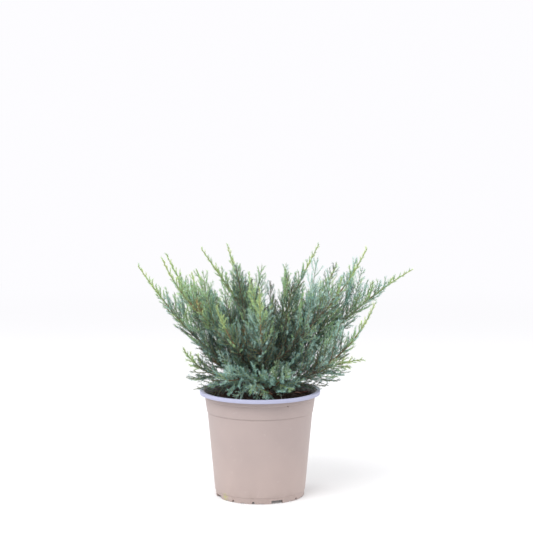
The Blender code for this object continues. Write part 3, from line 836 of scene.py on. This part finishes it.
def bark_tube(bm, uv, axis, end, step, sides, relief, lobes=None):
    """A closed tube round an axis, with ridges of bark along it and a map of turn and distance."""
    count = max(2, round(axis.length * end / step))
    rings, lengths = [], []
    for i in range(count + 1):
        share = end * i / count
        centre, tangent, radius = axis.at(share), axis.tangent(share), axis.radius(share)
        side, up = cross_frame(UP if lobes else tangent)
        run = share * axis.length
        ring = []
        for j, (c, s) in enumerate(circle(sides)):
            height = sum(
                noise.noise(Vector((c * across, s * across, run * along + shift))) * part
                for across, along, shift, part in BARK_WAVES
            )
            reach = radius * (1.0 + relief * height)
            if lobes:
                reach *= 1.0 + lobes(share) * math.cos(ROOT_LOBES * 2.0 * math.pi * j / sides)
            ring.append(bm.verts.new(centre + side * reach * c + up * reach * s))
        rings.append(ring)
        lengths.append(run)
    for i in range(count):
        for j in range(sides):
            k = (j + 1) % sides
            face = bm.faces.new((rings[i][j], rings[i][k], rings[i + 1][k], rings[i + 1][j]))
            face.smooth = True
            turns = (j / sides, (j + 1) / sides, (j + 1) / sides, j / sides)
            runs = (lengths[i], lengths[i], lengths[i + 1], lengths[i + 1])
            for loop, turn, run in zip(face.loops, turns, runs):
                loop[uv].uv = (turn, run)
    bm.faces.new(list(reversed(rings[0])))
    bm.faces.new(rings[-1])


# Foliage


Cord = namedtuple("Cord", "points wood needles tint bark order")


def bend(foot, start, end, length, steps):
    """Points of a shoot that sets out along one direction and turns to another."""
    points = [foot]
    for i in range(steps):
        aim = start.lerp(end, (i + 0.5) / steps).normalized()
        points.append(points[-1] + aim * (length / steps))
    return points


def blocked(point):
    """True in the compost, the pot's wall or its rim."""
    out = math.hypot(point.x, point.y)
    if out > RIM_RADIUS + 0.0020 or point.z > RIM_TOP + 0.0020:
        return False
    return out > MOUTH_RADIUS - 0.0040 or point.z < SOIL_TOP + 0.0025


def pick(rnd, weights, cast):
    tints = list(weights)
    shares = [weights[t] * CASTS[cast].get(t, 1.0) for t in tints]
    return rnd.choices(tints, shares)[0]


def depth(point, from_tip, limb):
    """Names how deep a place lies in the crown; the inner places get mostly the darkest tints, painted
    shade.
    """
    if limb.cast == "blue":
        return "outside" if from_tip < TUFT_END else "middle"
    if from_tip < LEADER_END:
        return "leader"
    openness = math.hypot(point.x, point.y) / OPEN_REACH + max(0.0, point.z - OPEN_FOOT) / OPEN_HEIGHT
    if openness < INSIDE_BELOW:
        return "inside"
    return "middle" if openness < MIDDLE_BELOW else "outside"


class Crown:
    """Grows the twigs of every limb by one seeded rule, carried to fine shoots."""

    def __init__(self, settings):
        self.settings = settings
        self.cords = []

    def grow(self):
        for seed, limb in enumerate(LIMBS):
            self.rnd = random.Random(seed)
            self.grow_limb(limb, limb_axes()[limb.name])
        return self.cords

    def grow_limb(self, limb, axis):
        first = limb.leafy * FIRST_BRANCH
        leafy = axis.length * (1.0 - first)
        nodes = round(leafy / self.settings.branch_step)
        offset = self.rnd.uniform(0.0, 360.0)
        longest = limb.twig * MM * self.settings.branch_share
        below, rise = BELOW_SHARE, BRANCH_LIFT
        if limb.name.startswith("low"):
            longest *= LOW_SHARE
            below, rise = 1.0, LOW_LIFT
        spread = min(LEADER_LENGTH, leafy * 0.85)
        for k in range(nodes):
            share = (k + FIRST_NODE) / nodes
            at = first + (1.0 - first) * share
            from_tip = (1.0 - at) * axis.length
            turn = math.radians(offset + k * GOLDEN_TURN)
            tangent = axis.tangent(at)
            side, up = cross_frame(tangent)
            outward = side * math.cos(turn) + up * math.sin(turn)
            angle = math.radians(BRANCH_ANGLE * self.rnd.uniform(*BRANCH_ANGLES))
            long = k % LONG_EVERY == LONG_RANK and share < LONG_END and math.sin(turn) > LONG_BELOW
            lift = rise + (LONG_LIFT if long else 0.0)
            along = tangent * math.cos(angle) + outward * math.sin(angle) + UP * lift
            s = min(1.0, from_tip / spread)
            length = LEADER_BRANCH + (longest - LEADER_BRANCH) * s * s * (3.0 - 2.0 * s)
            length *= min(1.0, FOOT_LENGTH + share / LIMB_FOOT) * self.rnd.uniform(*BRANCH_LENGTHS)
            length *= 1.0 - (1.0 - below) * max(0.0, -math.sin(turn))
            if long:
                length *= LONG_SHARE
            across = outward.cross(along).normalized()
            along.normalize()
            lean = math.radians(self.rnd.uniform(-LEAN, LEAN))
            across = Matrix.Rotation(lean, 3, along) @ across
            place = axis.at(at)
            tint = pick(self.rnd, DEPTHS[depth(place, from_tip, limb)], limb.cast)
            pull = (along + tangent * BRANCH_PULL + UP * (rise + PULL_LIFT)).normalized()
            self.grow_shoot(place, along, pull, across, length, 1, tint, limb, from_tip)
        self.grow_leader(limb, axis)

    def grow_leader(self, limb, axis):
        """The limb's own stem, from old wood to a young leader, with needles along it."""
        for low, high, bark in STRETCHES:
            start = limb.leafy + (1.0 - limb.leafy) * low
            end = limb.leafy + (1.0 - limb.leafy) * high
            shares = [start + (end - start) * i / STEM_POINTS for i in range(STEM_POINTS + 1)]
            points = [axis.at(s) for s in shares]
            wood = [axis.radius(s) * STEM_SHARE for s in shares]
            needles = [0.80 if bark == "old" else 0.95] * len(points)
            if bark == "young":
                needles = [0.95 - 0.35 * i / STEM_POINTS for i in range(len(points))]
            tint = "fresh" if bark == "young" else "green"
            if limb.cast == "blue":
                tint = "blue"
            self.cords.append(Cord(points, wood, needles, tint, bark, 0))

    def grow_shoot(self, foot, along, pull, across, length, order, tint, limb, from_tip):
        """One shoot, with finer ones along both of its sides."""
        steps = max(3, round(length / SHOOT_STEP))
        points = bend(foot, along, pull, length, steps)
        for i, point in enumerate(points):
            if blocked(point):
                points = points[:i]
                break
        if len(points) < 3:
            return
        length *= (len(points) - 1) / steps
        steps = len(points) - 1
        form = ORDERS[order]
        wood = [form.wood * (1.0 - WOOD_TAPER * i / steps) for i in range(steps + 1)]
        needles = [form.needles * (1.0 - NEEDLE_TAPER * (i / steps) ** 3) for i in range(steps + 1)]
        old = order == 1 and from_tip > ORANGE_FROM_TIP and length > ORANGE_LENGTH
        self.cords.append(Cord(points, wood, needles, tint, "orange" if old else "young", order))
        if form.step is None or length < form.least * 2.0:
            return
        count = int(length * BEARING / form.step)
        sign = self.rnd.choice((-1.0, 1.0))
        for i in range(count):
            sign = -sign
            if self.rnd.random() < self.settings.missing:
                continue
            share = BARE_FOOT + BEARING * (i + self.rnd.uniform(0.2, 0.8)) / count
            rank = share * steps
            j = min(steps - 1, int(rank))
            place = points[j].lerp(points[j + 1], rank - j)
            tangent = (points[j + 1] - points[j]).normalized()
            reach = length * form.share * min(1.0, FOOT_LENGTH + share / SHOOT_FOOT)
            reach *= (1.0 - share) ** SPRAY_OUTLINE
            reach = max(reach * self.rnd.uniform(*SHOOT_LENGTHS), form.least * 0.9)
            out = (across - tangent * across.dot(tangent)).normalized()
            tilt = math.radians(self.rnd.uniform(-OUT_OF_PLANE, OUT_OF_PLANE))
            out = Matrix.Rotation(tilt, 3, tangent) @ out
            angle = math.radians(form.angle * self.rnd.uniform(*SHOOT_ANGLES))
            start = tangent * math.cos(angle) + out * sign * math.sin(angle) + UP * SHOOT_LIFT
            start.normalize()
            end = (start + tangent * SHOOT_PULL + UP * SHOOT_LIFT).normalized()
            own = self.own_tint(tint, share, place, from_tip, limb)
            next_across = (out * math.cos(angle) - tangent * sign * math.sin(angle)).normalized()
            next_across += out.cross(tangent) * self.rnd.uniform(-SPRAY_TWIST, SPRAY_TWIST)
            next_across.normalize()
            self.grow_shoot(place, start, end, next_across, reach, order + 1, own, limb, from_tip)

    def own_tint(self, tint, share, place, from_tip, limb):
        """Mostly the carrier's tint, lighter on the outer shoots and darker on the inner ones."""
        if self.rnd.random() < OTHER_CHANCE:
            tint = pick(self.rnd, DEPTHS[depth(place, from_tip, limb)], limb.cast)
        if share > LIGHTER_FROM and self.rnd.random() < LIGHTER_CHANCE and limb.cast != "blue":
            tint = LIGHTER.get(tint, tint)
        if share < DARKER_TO and self.rnd.random() < DARKER_CHANCE:
            tint = DARKER.get(tint, tint)
        return tint


@functools.cache
def grown_cords():
    return Crown(bpy.context.scene.juniper_foliage).grow()


def cord_lines(name, cords, spacing=1):
    """A mesh of bare edges, one run for each cord, with its wood radius and needle size at each point."""
    places, edges, wood, needles = [], [], [], []
    for cord in cords:
        picks = list(range(0, len(cord.points), spacing))
        if picks[-1] != len(cord.points) - 1:
            picks.append(len(cord.points) - 1)
        first = len(places)
        places.extend(cord.points[i] for i in picks)
        wood.extend(cord.wood[i] for i in picks)
        needles.extend(cord.needles[i] for i in picks)
        edges.extend((first + i, first + i + 1) for i in range(len(picks) - 1))
    mesh = bpy.data.meshes.new(name)
    mesh.from_pydata(places, edges, [])
    for label, values in (("wood_radius", wood), ("needle_size", needles)):
        layer = mesh.attributes.new(label, "FLOAT", "POINT")
        layer.data.foreach_set("value", np.array(values, dtype=np.float32))
    return show(name, mesh)


def cord_length(cord):
    return sum((b - a).length for a, b in zip(cord.points, cord.points[1:]))


def in_groups(cords, most):
    """Splits cords into groups of at most so much length."""
    groups, filled = [[]], 0.0
    for cord in cords:
        length = cord_length(cord)
        if filled + length > most:
            groups.append([])
            filled = 0.0
        groups[-1].append(cord)
        filled += length
    return groups


def needle_mesh(settings):
    """One awl-shaped needle along +Z with its foot at the origin, keeled at its back."""
    length, width = settings.needle_length, settings.needle_width
    bm = bmesh.new()
    foot = bm.verts.new((0.0, 0.0, 0.0))
    tip = bm.verts.new((0.0, 0.0, length))
    left = bm.verts.new((width * NEEDLE_KEEL, -width * 0.5, length * NEEDLE_WIDEST))
    right = bm.verts.new((width * NEEDLE_KEEL, width * 0.5, length * NEEDLE_WIDEST))
    for corners in ((foot, left, right), (left, tip, right), (foot, tip, left), (foot, right, tip)):
        bm.faces.new(corners)
    bmesh.ops.recalc_face_normals(bm, faces=bm.faces)
    return mesh_from(bm, "needle")


def needle_maker(settings, needle, material, seed):
    """Sets needles in a spiral along each run of edges, leaning out from it."""
    made = Maker(
        "needles along shoots",
        spacing=settings.needle_spacing,
        lean=settings.needle_lean,
        turn=math.radians(GOLDEN_TURN),
        seed=seed,
        needle=needle,
        material=material,
    )
    line = made.node("GeometryNodeMeshToCurve", None, {0: made["Geometry"]})
    values = {"Curve": line, "Length": made["Spacing"]}
    line = made.node("GeometryNodeResampleCurve", {"mode": "LENGTH"}, values)
    tangent = made.node("GeometryNodeInputTangent")
    facing = made.node("FunctionNodeAlignRotationToVector", {"axis": "Z"}, {"Vector": tangent})
    rank = made.node("GeometryNodeInputIndex")

    def spread(low, high, salt):
        values = {2: low, 3: high, 8: made["Seed"] + salt}
        return made.node("FunctionNodeRandomValue", {"data_type": "FLOAT"}, values, out=1)

    twist = rank * made["Turn"] + spread(-0.35, 0.35, 1)
    twist = made.node("ShaderNodeCombineXYZ", None, {2: twist})
    lean = made["Lean"] * spread(0.72, 1.28, 2)
    lean = made.node("ShaderNodeCombineXYZ", None, {1: lean})
    for turn in (twist, lean):
        by = made.node("FunctionNodeEulerToRotation", None, {0: turn})
        facing = made.node("FunctionNodeRotateRotation", {"rotation_space": "LOCAL"}, {0: facing, 1: by})
    size = made.node("GeometryNodeInputNamedAttribute", {"data_type": "FLOAT"}, {0: "needle_size"})
    size = size * spread(0.80, 1.18, 3)
    source = made.node("GeometryNodeObjectInfo", None, {0: made["Needle"]}, out="Geometry")
    values = {"Points": line, "Instance": source, "Rotation": facing, "Scale": size}
    made.finish(made.node("GeometryNodeInstanceOnPoints", None, values))
    return made


def twig_maker(sides, material):
    """Gives each run of edges a round skin of its own radius."""
    made = Maker("twigs along shoots", sides=sides, material=material)
    line = made.node("GeometryNodeMeshToCurve", None, {0: made["Geometry"]})
    radius = made.node("GeometryNodeInputNamedAttribute", {"data_type": "FLOAT"}, {0: "wood_radius"})
    circle = made.node("GeometryNodeCurvePrimitiveCircle", {"mode": "RADIUS"}, {0: made["Sides"], 4: 1.0})
    values = {"Curve": line, "Profile Curve": circle, "Scale": radius, "Fill Caps": True}
    made.finish(made.node("GeometryNodeCurveToMesh", None, values))
    return made


def scatter_maker(**inputs):
    """Strews the shapes of a collection over a surface, each turned and sized at random."""
    made = Maker("litter on compost", **inputs)
    values = {"Mesh": made["Geometry"], "Density": made["Density"], "Seed": made["Seed"]}
    points = made.node("GeometryNodeDistributePointsOnFaces", None, values)
    settings = {"transform_space": "ORIGINAL"}
    shapes = made.node("GeometryNodeCollectionInfo", settings, {0: made["Shapes"], 1: True, 2: True})
    values = {0: (-0.6, -0.6, 0.0), 1: (0.6, 0.6, 6.283), 8: 7}
    turn = made.node("FunctionNodeRandomValue", {"data_type": "FLOAT_VECTOR"}, values)
    values = {2: made["Smallest"], 3: made["Largest"], 8: 11}
    size = made.node("FunctionNodeRandomValue", {"data_type": "FLOAT"}, values, out=1)
    values = {"Points": points, "Instance": shapes, "Pick Instance": True, "Rotation": turn, "Scale": size}
    made.finish(made.node("GeometryNodeInstanceOnPoints", None, values))
    return made


# Settings


def a_number(name, description, default, **more):
    return bpy.props.FloatProperty(name=name, description=description, default=default, **more)


def a_length(name, description, default):
    return a_number(name, description, default, unit="LENGTH", min=0.0)


def a_colour(name, description, *default):
    return bpy.props.FloatVectorProperty(
        name=name, description=description, default=default, subtype="COLOR", min=0.0, max=1.0
    )


class JuniperPot(bpy.types.PropertyGroup):
    """Faces and colours of the pot"""

    sides: bpy.props.IntProperty(name="Sides", description="Faces round the pot", default=180, min=24)
    corner_steps: bpy.props.IntProperty(
        name="Corner steps", description="Faces over each edge", default=3, min=1
    )
    wall_colour: a_colour("Wall", "Colour of the wall's top", 0.392, 0.322, 0.306)
    # Colour near the foot, lighter with painted bounce light from the floor.
    foot_colour: a_colour("Foot", "Colour near the foot", 0.437, 0.352, 0.326)
    # Lilac colour of the rim, a painted highlight.
    rim_colour: a_colour("Rim", "Colour of the rim", 0.395, 0.405, 0.545)
    # Colour of the inner wall: peat stain together with painted shade.
    stain_colour: a_colour("Stain", "Peat stain on the inside", 0.05, 0.04, 0.04)
    dust_colour: a_colour("Dust", "Dust above the foot", 0.30, 0.23, 0.19)
    scuff_colour: a_colour("Scuffs", "Pale scuffs", 0.78, 0.74, 0.72)
    mark_colour: a_colour("Mark", "Green mark on the foot", 0.42, 0.44, 0.10)
    mark_place: bpy.props.FloatVectorProperty(
        name="Mark's place", description="Middle of the mark", subtype="XYZ", default=MARK_PLACE
    )


class JuniperCompost(bpy.types.PropertyGroup):
    """Relief, litter and colours of the compost"""

    relief: a_length("Relief", "Height of the lumps", 0.0016)
    crumb_density: a_number("Crumbs", "Crumbs on a square metre", 120000.0, min=0.0)
    fibre_density: a_number("Fibres", "Fibres on a square metre", 26000.0, min=0.0)
    dark: a_colour("Dark", "Damp peat", 0.012, 0.009, 0.008)
    light: a_colour("Light", "Dry peat", 0.085, 0.050, 0.036)
    fibre_dark: a_colour("Fibre", "Damp fibre", 0.040, 0.022, 0.014)
    fibre_light: a_colour("Pale fibre", "Dry fibre", 0.220, 0.120, 0.065)


class JuniperFoliage(bpy.types.PropertyGroup):
    """Spacing and size of branches and needles"""

    branch_step: a_length("Branch spacing", "Run of limb from branch to branch", 0.0037)
    branch_share: a_number("Branch share", "Longest branch as a share of the limb's longest twig", 0.86)
    missing: a_number("Missing", "Share of fine shoots left out", 0.08, subtype="FACTOR")
    needle_length: a_length("Needle length", "Foot to tip", 0.0044)
    needle_width: a_length("Needle width", "Widest part", 0.00105)
    needle_spacing: a_length("Needle spacing", "Run of shoot between needles", 0.00090)
    needle_lean: a_number("Needle lean", "Angle to the shoot", math.radians(34.0), subtype="ANGLE")


class JuniperStage(bpy.types.PropertyGroup):
    """Floor, surroundings and lights"""

    floor_size: a_length("Floor size", "Side of the floor", 60.0)
    backdrop: a_colour("Backdrop", "Colour of the surroundings", 0.982, 0.976, 1.0)
    key_power: a_number("Key", "Power of the upper light", 42.0, unit="POWER")
    side_power: a_number("Side", "Power of each side light", 14.0, unit="POWER")


# Operators


class JUNIPER_OT_pot(bpy.types.Operator):
    """Turn the nursery pot and cut its drain notches"""

    bl_idname = "juniper.pot"
    bl_label = "Nursery pot"

    def execute(self, context):
        settings = context.scene.juniper_pot
        wall = turned(pot_profile(settings.corner_steps), settings.sides)
        pot = show("nursery_pot", mesh_from(wall, "pot"))
        bm = bmesh.new()
        for quarter in range(QUARTERS):
            for turn, width, height, corner in NOTCHES:
                azimuth = FIRST_NOTCH + quarter * 360.0 / QUARTERS + turn
                notch_block(bm, azimuth, width, height, corner)
        bmesh.ops.recalc_face_normals(bm, faces=bm.faces)
        cutter = show("notches", mesh_from(bm, "notches"))
        cut = pot.modifiers.new("notches", "BOOLEAN")
        cut.operation = "DIFFERENCE"
        cut.solver = "EXACT"
        cut.object = cutter
        context.view_layer.objects.active = pot
        bpy.ops.object.modifier_apply(modifier=cut.name)
        drop(cutter)
        pot.data.shade_smooth()
        pot.data.set_sharp_from_angle(angle=math.radians(SHARP_ANGLE))
        pot.data.materials.clear()
        pot.data.materials.append(pot_plastic(settings))
        ride(pot, "pot", "pot")
        return {"FINISHED"}


class JUNIPER_OT_compost(bpy.types.Operator):
    """Fill the pot with lumpy compost, crumbs and fibres"""

    bl_idname = "juniper.compost"
    bl_label = "Compost"

    def top_rings(self, bm, settings):
        """The lumpy top as rings of faces. Returns its outer edge."""
        edge = inside_radius(SOIL_TOP) - 0.0002
        made = [[bm.verts.new((0.0, 0.0, soil_height(0.0, 0.0, settings)))]]
        for i in range(1, SOIL_RINGS + 1):
            out = edge * (i / SOIL_RINGS) ** 0.85
            places = [(out * c, out * s) for c, s in circle(SOIL_SIDES)]
            made.append([bm.verts.new((x, y, soil_height(x, y, settings))) for x, y in places])
        for low, high in zip(made, made[1:]):
            for j in range(SOIL_SIDES):
                k = (j + 1) % SOIL_SIDES
                corners = [low[j % len(low)], high[j], high[k], low[k % len(low)]]
                bm.faces.new(list(dict.fromkeys(corners))).smooth = True
        return made[-1]

    def crumb_shapes(self, group, rnd):
        """A few uneven lumps of about a unit's radius."""
        for i in range(SHAPES_OF_A_KIND):
            bm = bmesh.new()
            bmesh.ops.create_icosphere(bm, subdivisions=1, radius=1.0)
            stretch = Vector((rnd.uniform(0.8, 1.5), rnd.uniform(0.7, 1.1), rnd.uniform(0.5, 0.9)))
            for vert in bm.verts:
                vert.co = Vector(a * b for a, b in zip(vert.co, stretch)) * rnd.uniform(0.72, 1.22)
            group.objects.link(bpy.data.objects.new(f"crumb_{i}", mesh_from(bm, "crumb")))

    def fibre_shapes(self, group, rnd):
        """A few curled fibres, two units long."""
        for i in range(SHAPES_OF_A_KIND):
            bm = bmesh.new()
            curl = rnd.uniform(-0.5, 0.5)
            loops = []
            for t in (0.0, 0.25, 0.5, 0.75, 1.0):
                centre = Vector((t * 2.0 - 1.0, curl * math.sin(math.pi * t), 0.10 * math.sin(7.0 * t + i)))
                wide = 0.10 * (1.0 - 0.6 * abs(t - 0.4))
                ring = (Vector((0.0, c, s)) * wide for c, s in circle(FIBRE_SIDES))
                loops.append([bm.verts.new(centre + point) for point in ring])
            for low, high in zip(loops, loops[1:]):
                skin(bm, low, high)
            bm.faces.new(loops[0])
            bm.faces.new(loops[-1])
            bmesh.ops.recalc_face_normals(bm, faces=bm.faces)
            group.objects.link(bpy.data.objects.new(f"fibre_{i}", mesh_from(bm, "fibre")))

    def execute(self, context):
        settings = context.scene.juniper_compost
        peat = compost_finish("damp peat", tuple(settings.dark), tuple(settings.light))
        fibre = compost_finish("peat fibre", tuple(settings.fibre_dark), tuple(settings.fibre_light))
        bm = bmesh.new()
        self.top_rings(bm, settings)
        surface = show("surface", mesh_from(bm, "surface"))
        bm = bmesh.new()
        edge = self.top_rings(bm, settings)
        under = [bm.verts.new((v.co.x, v.co.y, SOIL_BASE)) for v in edge]
        skin(bm, edge, under)
        bm.faces.new(under)
        bmesh.ops.recalc_face_normals(bm, faces=bm.faces)
        ride(show("compost", mesh_from(bm, "compost"), peat), "soil", "soil")
        rnd = random.Random(3)
        kinds = (
            ("compost_crumbs", self.crumb_shapes, settings.crumb_density, CRUMB_SIZES, peat),
            ("compost_fibres", self.fibre_shapes, settings.fibre_density, FIBRE_SIZES, fibre),
        )
        for seed, (name, make_shapes, density, (smallest, largest), finish) in enumerate(kinds):
            group = bpy.data.collections.new(name)
            make_shapes(group, rnd)
            maker = scatter_maker(
                density=density, smallest=smallest, largest=largest, seed=seed, shapes=group, material=finish
            )
            ride(maker.apply(surface, name), "soil")
            drop(*group.objects)
            bpy.data.collections.remove(group)
        drop(surface)
        return {"FINISHED"}


class JUNIPER_OT_bark(bpy.types.Operator):
    """Clothe the trunk and boughs in stringy bark"""

    bl_idname = "juniper.bark"
    bl_label = "Bark"

    def execute(self, context):
        axes = limb_axes()
        bm = bmesh.new()
        uv = bm.loops.layers.uv.new("limb")
        bark_tube(bm, uv, axes["trunk"], 1.0, *TRUNK_BARK, root_lobes)
        for limb in LIMBS:
            bark_tube(bm, uv, axes[limb.name], limb.leafy + BARK_PAST, *LIMB_BARK)
        bmesh.ops.recalc_face_normals(bm, faces=bm.faces)
        covered = ["trunk"] + [f"bough_{limb.name}" for limb in LIMBS]
        ride(show("bark", mesh_from(bm, "bark"), bark_finish()), "bark", *covered)
        return {"FINISHED"}


class JUNIPER_OT_twigs(bpy.types.Operator):
    """Grow the stems and twigs inside each mass of foliage"""

    bl_idname = "juniper.twigs"
    bl_label = "Twigs"

    def execute(self, context):
        kinds = defaultdict(list)
        for cord in grown_cords():
            if cord.order < 3:
                kinds[(cord.bark, cord.order == 0)].append(cord)
        for (bark, stem), cords in sorted(kinds.items()):
            name = f"{'stems' if stem else 'twigs'}_{bark}"
            lines = cord_lines("lines", cords, 1 if stem else 2)
            wood = plain(f"{bark} wood", WOODS[bark], WOOD_ROUGHNESS)
            maker = twig_maker(STEM_SIDES if stem else TWIG_SIDES, wood)
            made = maker.apply(lines, name)
            made.data.shade_smooth()
            ride(made, "bark")
            drop(lines)
        return {"FINISHED"}


class JUNIPER_OT_needles(bpy.types.Operator):
    """Set needles along every shoot, in tints dealt out by spray"""

    bl_idname = "juniper.needles"
    bl_label = "Needles"

    def execute(self, context):
        settings = context.scene.juniper_foliage
        needle = show("needle", needle_mesh(settings))
        tints = defaultdict(list)
        for cord in grown_cords():
            if cord.needles[0] > 0.0:
                tints[cord.tint].append(cord)
        masses = [f"mass_{limb.name}" for limb in LIMBS]
        most = MOST_FACES / NEEDLE_FACES * settings.needle_spacing * SPARE
        for seed, (tint, cords) in enumerate(sorted(tints.items())):
            material = plain(f"{tint} needles", TINTS[tint], NEEDLE_ROUGHNESS)
            for part, group in enumerate(in_groups(cords, most)):
                lines = cord_lines("lines", group)
                maker = needle_maker(settings, needle, material, seed * 10 + part)
                ride(maker.apply(lines, f"needles_{tint}_{part}"), "foliage", *masses)
                drop(lines)
        drop(needle)
        return {"FINISHED"}


class JUNIPER_OT_litter(bpy.types.Operator):
    """Lay the fallen leaves and the pale rootlet on the compost"""

    bl_idname = "juniper.litter"
    bl_label = "Litter"

    def leaf_blade(self, leaf):
        """A thin curled leaf along X with its middle at the origin."""
        bm = bmesh.new()
        rings = []
        for i in range(LEAF_STEPS + 1):
            t = i / LEAF_STEPS
            half = leaf.width * 0.5 * math.sin(math.pi * (0.04 + 0.92 * t)) ** 0.7
            arch = leaf.curl * 0.075 * leaf.length * math.sin(math.pi * t)
            ring = []
            for side in (-1.0, -0.5, 0.0, 0.5, 1.0):
                lift = leaf.curl * (side * side - 0.3) * half + arch
                ring.append(bm.verts.new(((t - 0.5) * leaf.length, side * half, lift)))
            rings.append(ring)
        for low, high in zip(rings, rings[1:]):
            for j in range(len(low) - 1):
                bm.faces.new((low[j], high[j], high[j + 1], low[j + 1]))
        bmesh.ops.solidify(bm, geom=list(bm.faces), thickness=LEAF_THICKNESS)
        return bm

    def execute(self, context):
        compost = context.scene.juniper_compost
        for leaf in LITTER:
            bm = self.leaf_blade(leaf)
            place = Matrix.Translation((leaf.x, leaf.y, soil_height(leaf.x, leaf.y, compost) + LEAF_LIFT))
            place @= Matrix.Rotation(math.radians(leaf.turn), 4, "Z")
            bm.transform(place @ Matrix.Rotation(math.radians(leaf.tilt), 4, "Y"))
            bmesh.ops.recalc_face_normals(bm, faces=bm.faces)
            made = show(leaf.name, mesh_from(bm, leaf.name), dead_finish(leaf.name))
            made.data.shade_smooth()
            ride(made, "soil")
        points = [Vector((x, y, soil_height(x, y, compost) + lift)) for x, y, lift, radius in ROOTLET]
        rootlet = Cord(points, [row[3] for row in ROOTLET], [0.0] * len(ROOTLET), None, None, 0)
        lines = cord_lines("lines", [rootlet])
        made = twig_maker(ROOTLET_SIDES, dead_finish("pale_rootlet")).apply(lines, "pale_rootlet")
        made.data.shade_smooth()
        ride(made, "soil")
        drop(lines)
        return {"FINISHED"}


class JUNIPER_OT_stage(bpy.types.Operator):
    """Set the floor, the lights and the camera"""

    bl_idname = "juniper.stage"
    bl_label = "Stage"

    def light(self, name, place, aim, size, power):
        """A round light at a place, turned to what it lights."""
        data = bpy.data.lights.new(name, "AREA")
        data.shape = "DISK"
        data.size = size
        data.energy = power
        lamp = bpy.data.objects.new(name, data)
        lamp.location = place
        lamp.rotation_euler = (aim - place).to_track_quat("-Z", "Y").to_euler()
        bpy.context.scene.collection.objects.link(lamp)

    def execute(self, context):
        settings = context.scene.juniper_stage
        scene = context.scene
        bm = bmesh.new()
        bmesh.ops.create_grid(bm, x_segments=1, y_segments=1, size=settings.floor_size * 0.5)
        white = Finish("floor", roughness=0.9, specular_ior_level=0.0, emission_strength=1.0)
        far = white.slope(white.vector("LENGTH", white.place(), out=1), 0.6, 3.0)
        white.set("Base Color", white.mix(far, (0.70, 0.70, 0.70), (0.0, 0.0, 0.0)))
        white.set("Emission Color", white.mix(far, (0.10, 0.10, 0.10), settings.backdrop))
        floor = show("floor", mesh_from(bm, "floor"), white.material)
        world = bpy.data.worlds.new("surroundings")
        world.use_nodes = True
        world.node_tree.nodes["Background"].inputs["Color"].default_value = (*settings.backdrop, 1.0)
        scene.world = world
        scene.view_settings.view_transform = "Standard"
        middle = Vector((0.0, 0.0, 0.2))
        self.light("key", KEY_PLACE, middle, KEY_SIZE, settings.key_power)
        for name, place in (("left", LEFT_PLACE), ("right", RIGHT_PLACE)):
            self.light(name, place, middle, SIDE_SIZE, settings.side_power)
        data = bpy.data.cameras.new("camera")
        data.lens = CAMERA_LENS
        camera = bpy.data.objects.new("camera", data)
        camera.location = CAMERA_PLACE
        camera.rotation_euler = (math.radians(90.0 - CAMERA_PITCH), 0.0, 0.0)
        scene.collection.objects.link(camera)
        scene.camera = camera
        return {"FINISHED"}


PIECES = (
    JUNIPER_OT_stage,
    JUNIPER_OT_pot,
    JUNIPER_OT_compost,
    JUNIPER_OT_bark,
    JUNIPER_OT_twigs,
    JUNIPER_OT_needles,
    JUNIPER_OT_litter,
)


class JUNIPER_PT_panel(bpy.types.Panel):
    """Lists the steps that make the juniper"""

    bl_idname = "JUNIPER_PT_panel"
    bl_label = "Potted juniper"
    bl_space_type = "VIEW_3D"
    bl_region_type = "UI"
    bl_category = "Juniper"

    def draw(self, context):
        for piece in PIECES:
            self.layout.operator(piece.bl_idname)


SETTINGS = {
    "juniper_pot": JuniperPot,
    "juniper_compost": JuniperCompost,
    "juniper_foliage": JuniperFoliage,
    "juniper_stage": JuniperStage,
}


def register():
    for kind in (*SETTINGS.values(), *PIECES, JUNIPER_PT_panel):
        bpy.utils.register_class(kind)
    for name, kind in SETTINGS.items():
        setattr(bpy.types.Scene, name, bpy.props.PointerProperty(type=kind))


def unregister():
    for name in SETTINGS:
        delattr(bpy.types.Scene, name)
    for kind in (*SETTINGS.values(), *PIECES, JUNIPER_PT_panel):
        bpy.utils.unregister_class(kind)


def main():
    register()
    for piece in PIECES:
        group, name = piece.bl_idname.split(".")
        getattr(getattr(bpy.ops, group), name)()


if __name__ == "__main__":
    main()
